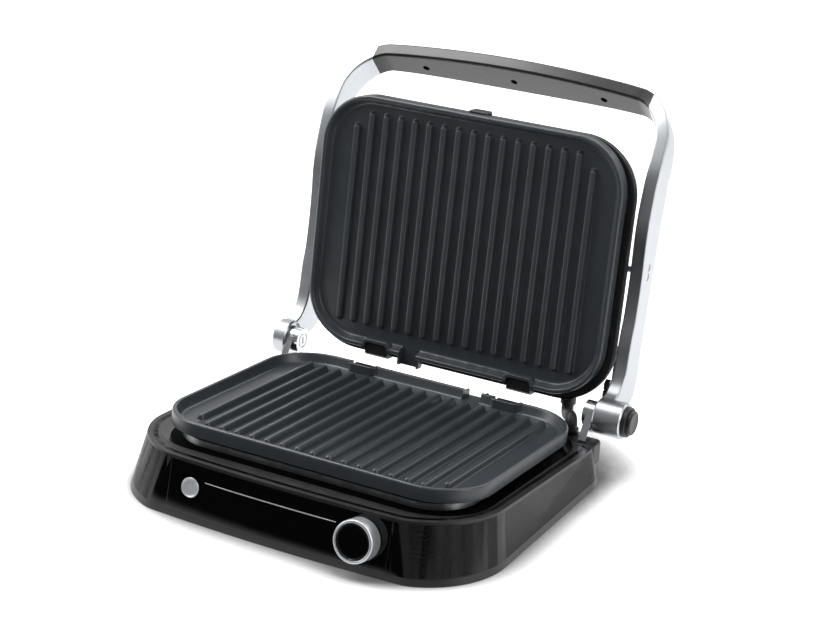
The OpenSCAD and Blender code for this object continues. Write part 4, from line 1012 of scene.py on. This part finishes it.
# Control board.
# Green solder mask over copper tracks, behind the panel.
# Glass-fibre board: lacquer over tracks that show as paler lines.
mask_green, tree, where = new_finish("green_solder_mask", {"Roughness": 0.3})
tracks = add(tree, "TexBrick", {"Vector": where, "Scale": 1 / (9 * MM), "Color1": "#174a2e",
                                "Color2": "#1b5636", "Mortar": "#3a7d52",
                                "Mortar Size": 0.02})
dress(tree, {"Base Color": tracks})
soften(("control_board",), mask_green, 0.2)

# Thermostat.
# A steatite body clamped under the lower pan.
# Unglazed steatite: cream, matte, faintly mottled.
steatite, tree, where = new_finish("steatite_ceramic", {"Roughness": 0.75})
mottle = add(tree, "TexNoise", {"Vector": where, "Scale": 1 / (2 * MM), "Detail": 3.0})
tone = add(tree, "MixRGB", {"Fac": mottle, "Color1": "#cdbf9e", "Color2": "#ddd2b8"})
dress(tree, {"Base Color": tone})
soften(("thermostat",), steatite, 0.5)

# Feet.
# Four round rubber feet, pressed into the bottom, with a rounded lower edge.
# Moulded rubber: matte, greyed by dust in its pores.
rubber, tree, where = new_finish("black_rubber", {"Specular IOR Level": 0.3})
dust = add(tree, "TexNoise", {"Vector": where, "Scale": 1 / (4 * MM), "Detail": 5.0})
tone = add(tree, "MixRGB", {"Fac": dust, "Color1": "#141414", "Color2": "#262625"})
rough = add(tree, "MapRange", {"Value": dust, "To Min": 0.6, "To Max": 0.85})
dress(tree, {"Base Color": tone, "Roughness": rough})
foot_x, foot_y = 128 * MM, 115 * MM
for x, side in ((-foot_x, "left"), (foot_x, "right")):
    for y, end in ((-foot_y, "front"), (foot_y, "rear")):
        foot = round_bar(((8.2, 0), (8.8, 0.25), (9, 0.8), (9, 2.4)), 64)
        settle(place(foot, Matrix.Translation((x, y, 0))), f"pad_{end}_{side}", "base",
               rubber, 40, [f"foot_{end}_{side}"])

# Wire sleeve.
# A woven glass sleeve carries the lid's wires up from the base.
# Black lacquered glass braid: two crossing sets of yarns with a dull shine.
woven, tree, where = new_finish("braided_glass_sleeving")
yarns = []
# Real yarns are about 0.6 mm; they are drawn 1.2 mm wide.
for lean in (45, -45):
    turned_way = add(tree, "Mapping", {"Vector": where, "Rotation": (radians(lean), radians(lean), 0)})
    yarns.append(add(tree, "TexWave", {"Vector": turned_way, "Scale": 1 / (7.5 * MM)},
                     bands_direction="Z"))
braid = add(tree, "Math", {0: yarns[0].outputs["Fac"], 1: yarns[1].outputs["Fac"]}, operation="MAXIMUM")
tone = add(tree, "MixRGB", {"Fac": braid, "Color1": "#0c0c0d", "Color2": "#29292b"})
rough = add(tree, "MapRange", {"Value": braid, "To Min": 0.75, "To Max": 0.5})
skin = add(tree, "Bump", {"Height": braid, "Strength": 0.5, "Distance": 0.25 * MM})
dress(tree, {"Base Color": tone, "Roughness": rough, "Normal": skin})


def bezier(ends, t):
    """A point on the cubic through its four control points."""
    p, q, r, s = ends
    return (1 - t) ** 3 * p + 3 * (1 - t) ** 2 * t * q + 3 * (1 - t) * t ** 2 * r + t ** 3 * s


def tube(path, radius, sides=24):
    """A closed round tube along a list of points."""
    rings = []
    for i, point in enumerate(path):
        way = (path[min(i + 1, len(path) - 1)] - path[max(i - 1, 0)]).normalized()
        clear()
        bpy.ops.mesh.primitive_circle_add(vertices=sides, radius=radius)
        ring = bpy.context.object
        side_way = way.cross(Vector((1, 0, 0))).normalized()
        over = side_way.cross(way).normalized()
        rings.append(place(ring, Matrix.Translation(point)
                           @ Matrix((over, side_way, way)).transposed().to_4x4()))
    return loft(rings)


sleeve_radius, sleeve_x, sleeve_y, entry_x = 5.45 * MM, 132 * MM, 126 * MM, 115 * MM
entry_u, entry_h, sleeve_low = -28.6 * MM, -14.5 * MM, 32.4 * MM
sleeve_ends = [Vector((sleeve_x, sleeve_y, 36.5 * MM)), Vector((sleeve_x, sleeve_y, 57.2 * MM)),
               on_lid @ Vector((entry_x, entry_u - 20 * MM, entry_h)),
               on_lid @ Vector((entry_x, entry_u - 0.3 * MM, entry_h))]
route = ([Vector((sleeve_x, sleeve_y, sleeve_low))] + [bezier(sleeve_ends, i / 24) for i in range(25)]
         + [on_lid @ Vector((entry_x, frame_low - 0.4 * MM, entry_h))])
sleeve = tube(route, sleeve_radius)
settle(sleeve, "wire_braid", None, woven, 40, ["wire_sleeve"])
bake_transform(sleeve)

# Lid stay.
# A bent spring wire holds the lid upright on the arms while it is open.
wire_radius = 0.78 * MM
# Upper and lower end of each leg, in mm.
legs = [((151.8, 165.5, 96.5), (151.8, 162.3, 70.5)), ((151.8, 169.3, 96.2), (151.8, 164.8, 70.5))]
wires = [tube([Vector(low) * MM, (Vector(low) + Vector(high)) / 2 * MM, Vector(high) * MM], wire_radius, 12)
         for high, low in legs]
stay = join(*wires)
settle(stay, "stay_spring", None, polished, 40, ["stay_wire"])
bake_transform(stay)
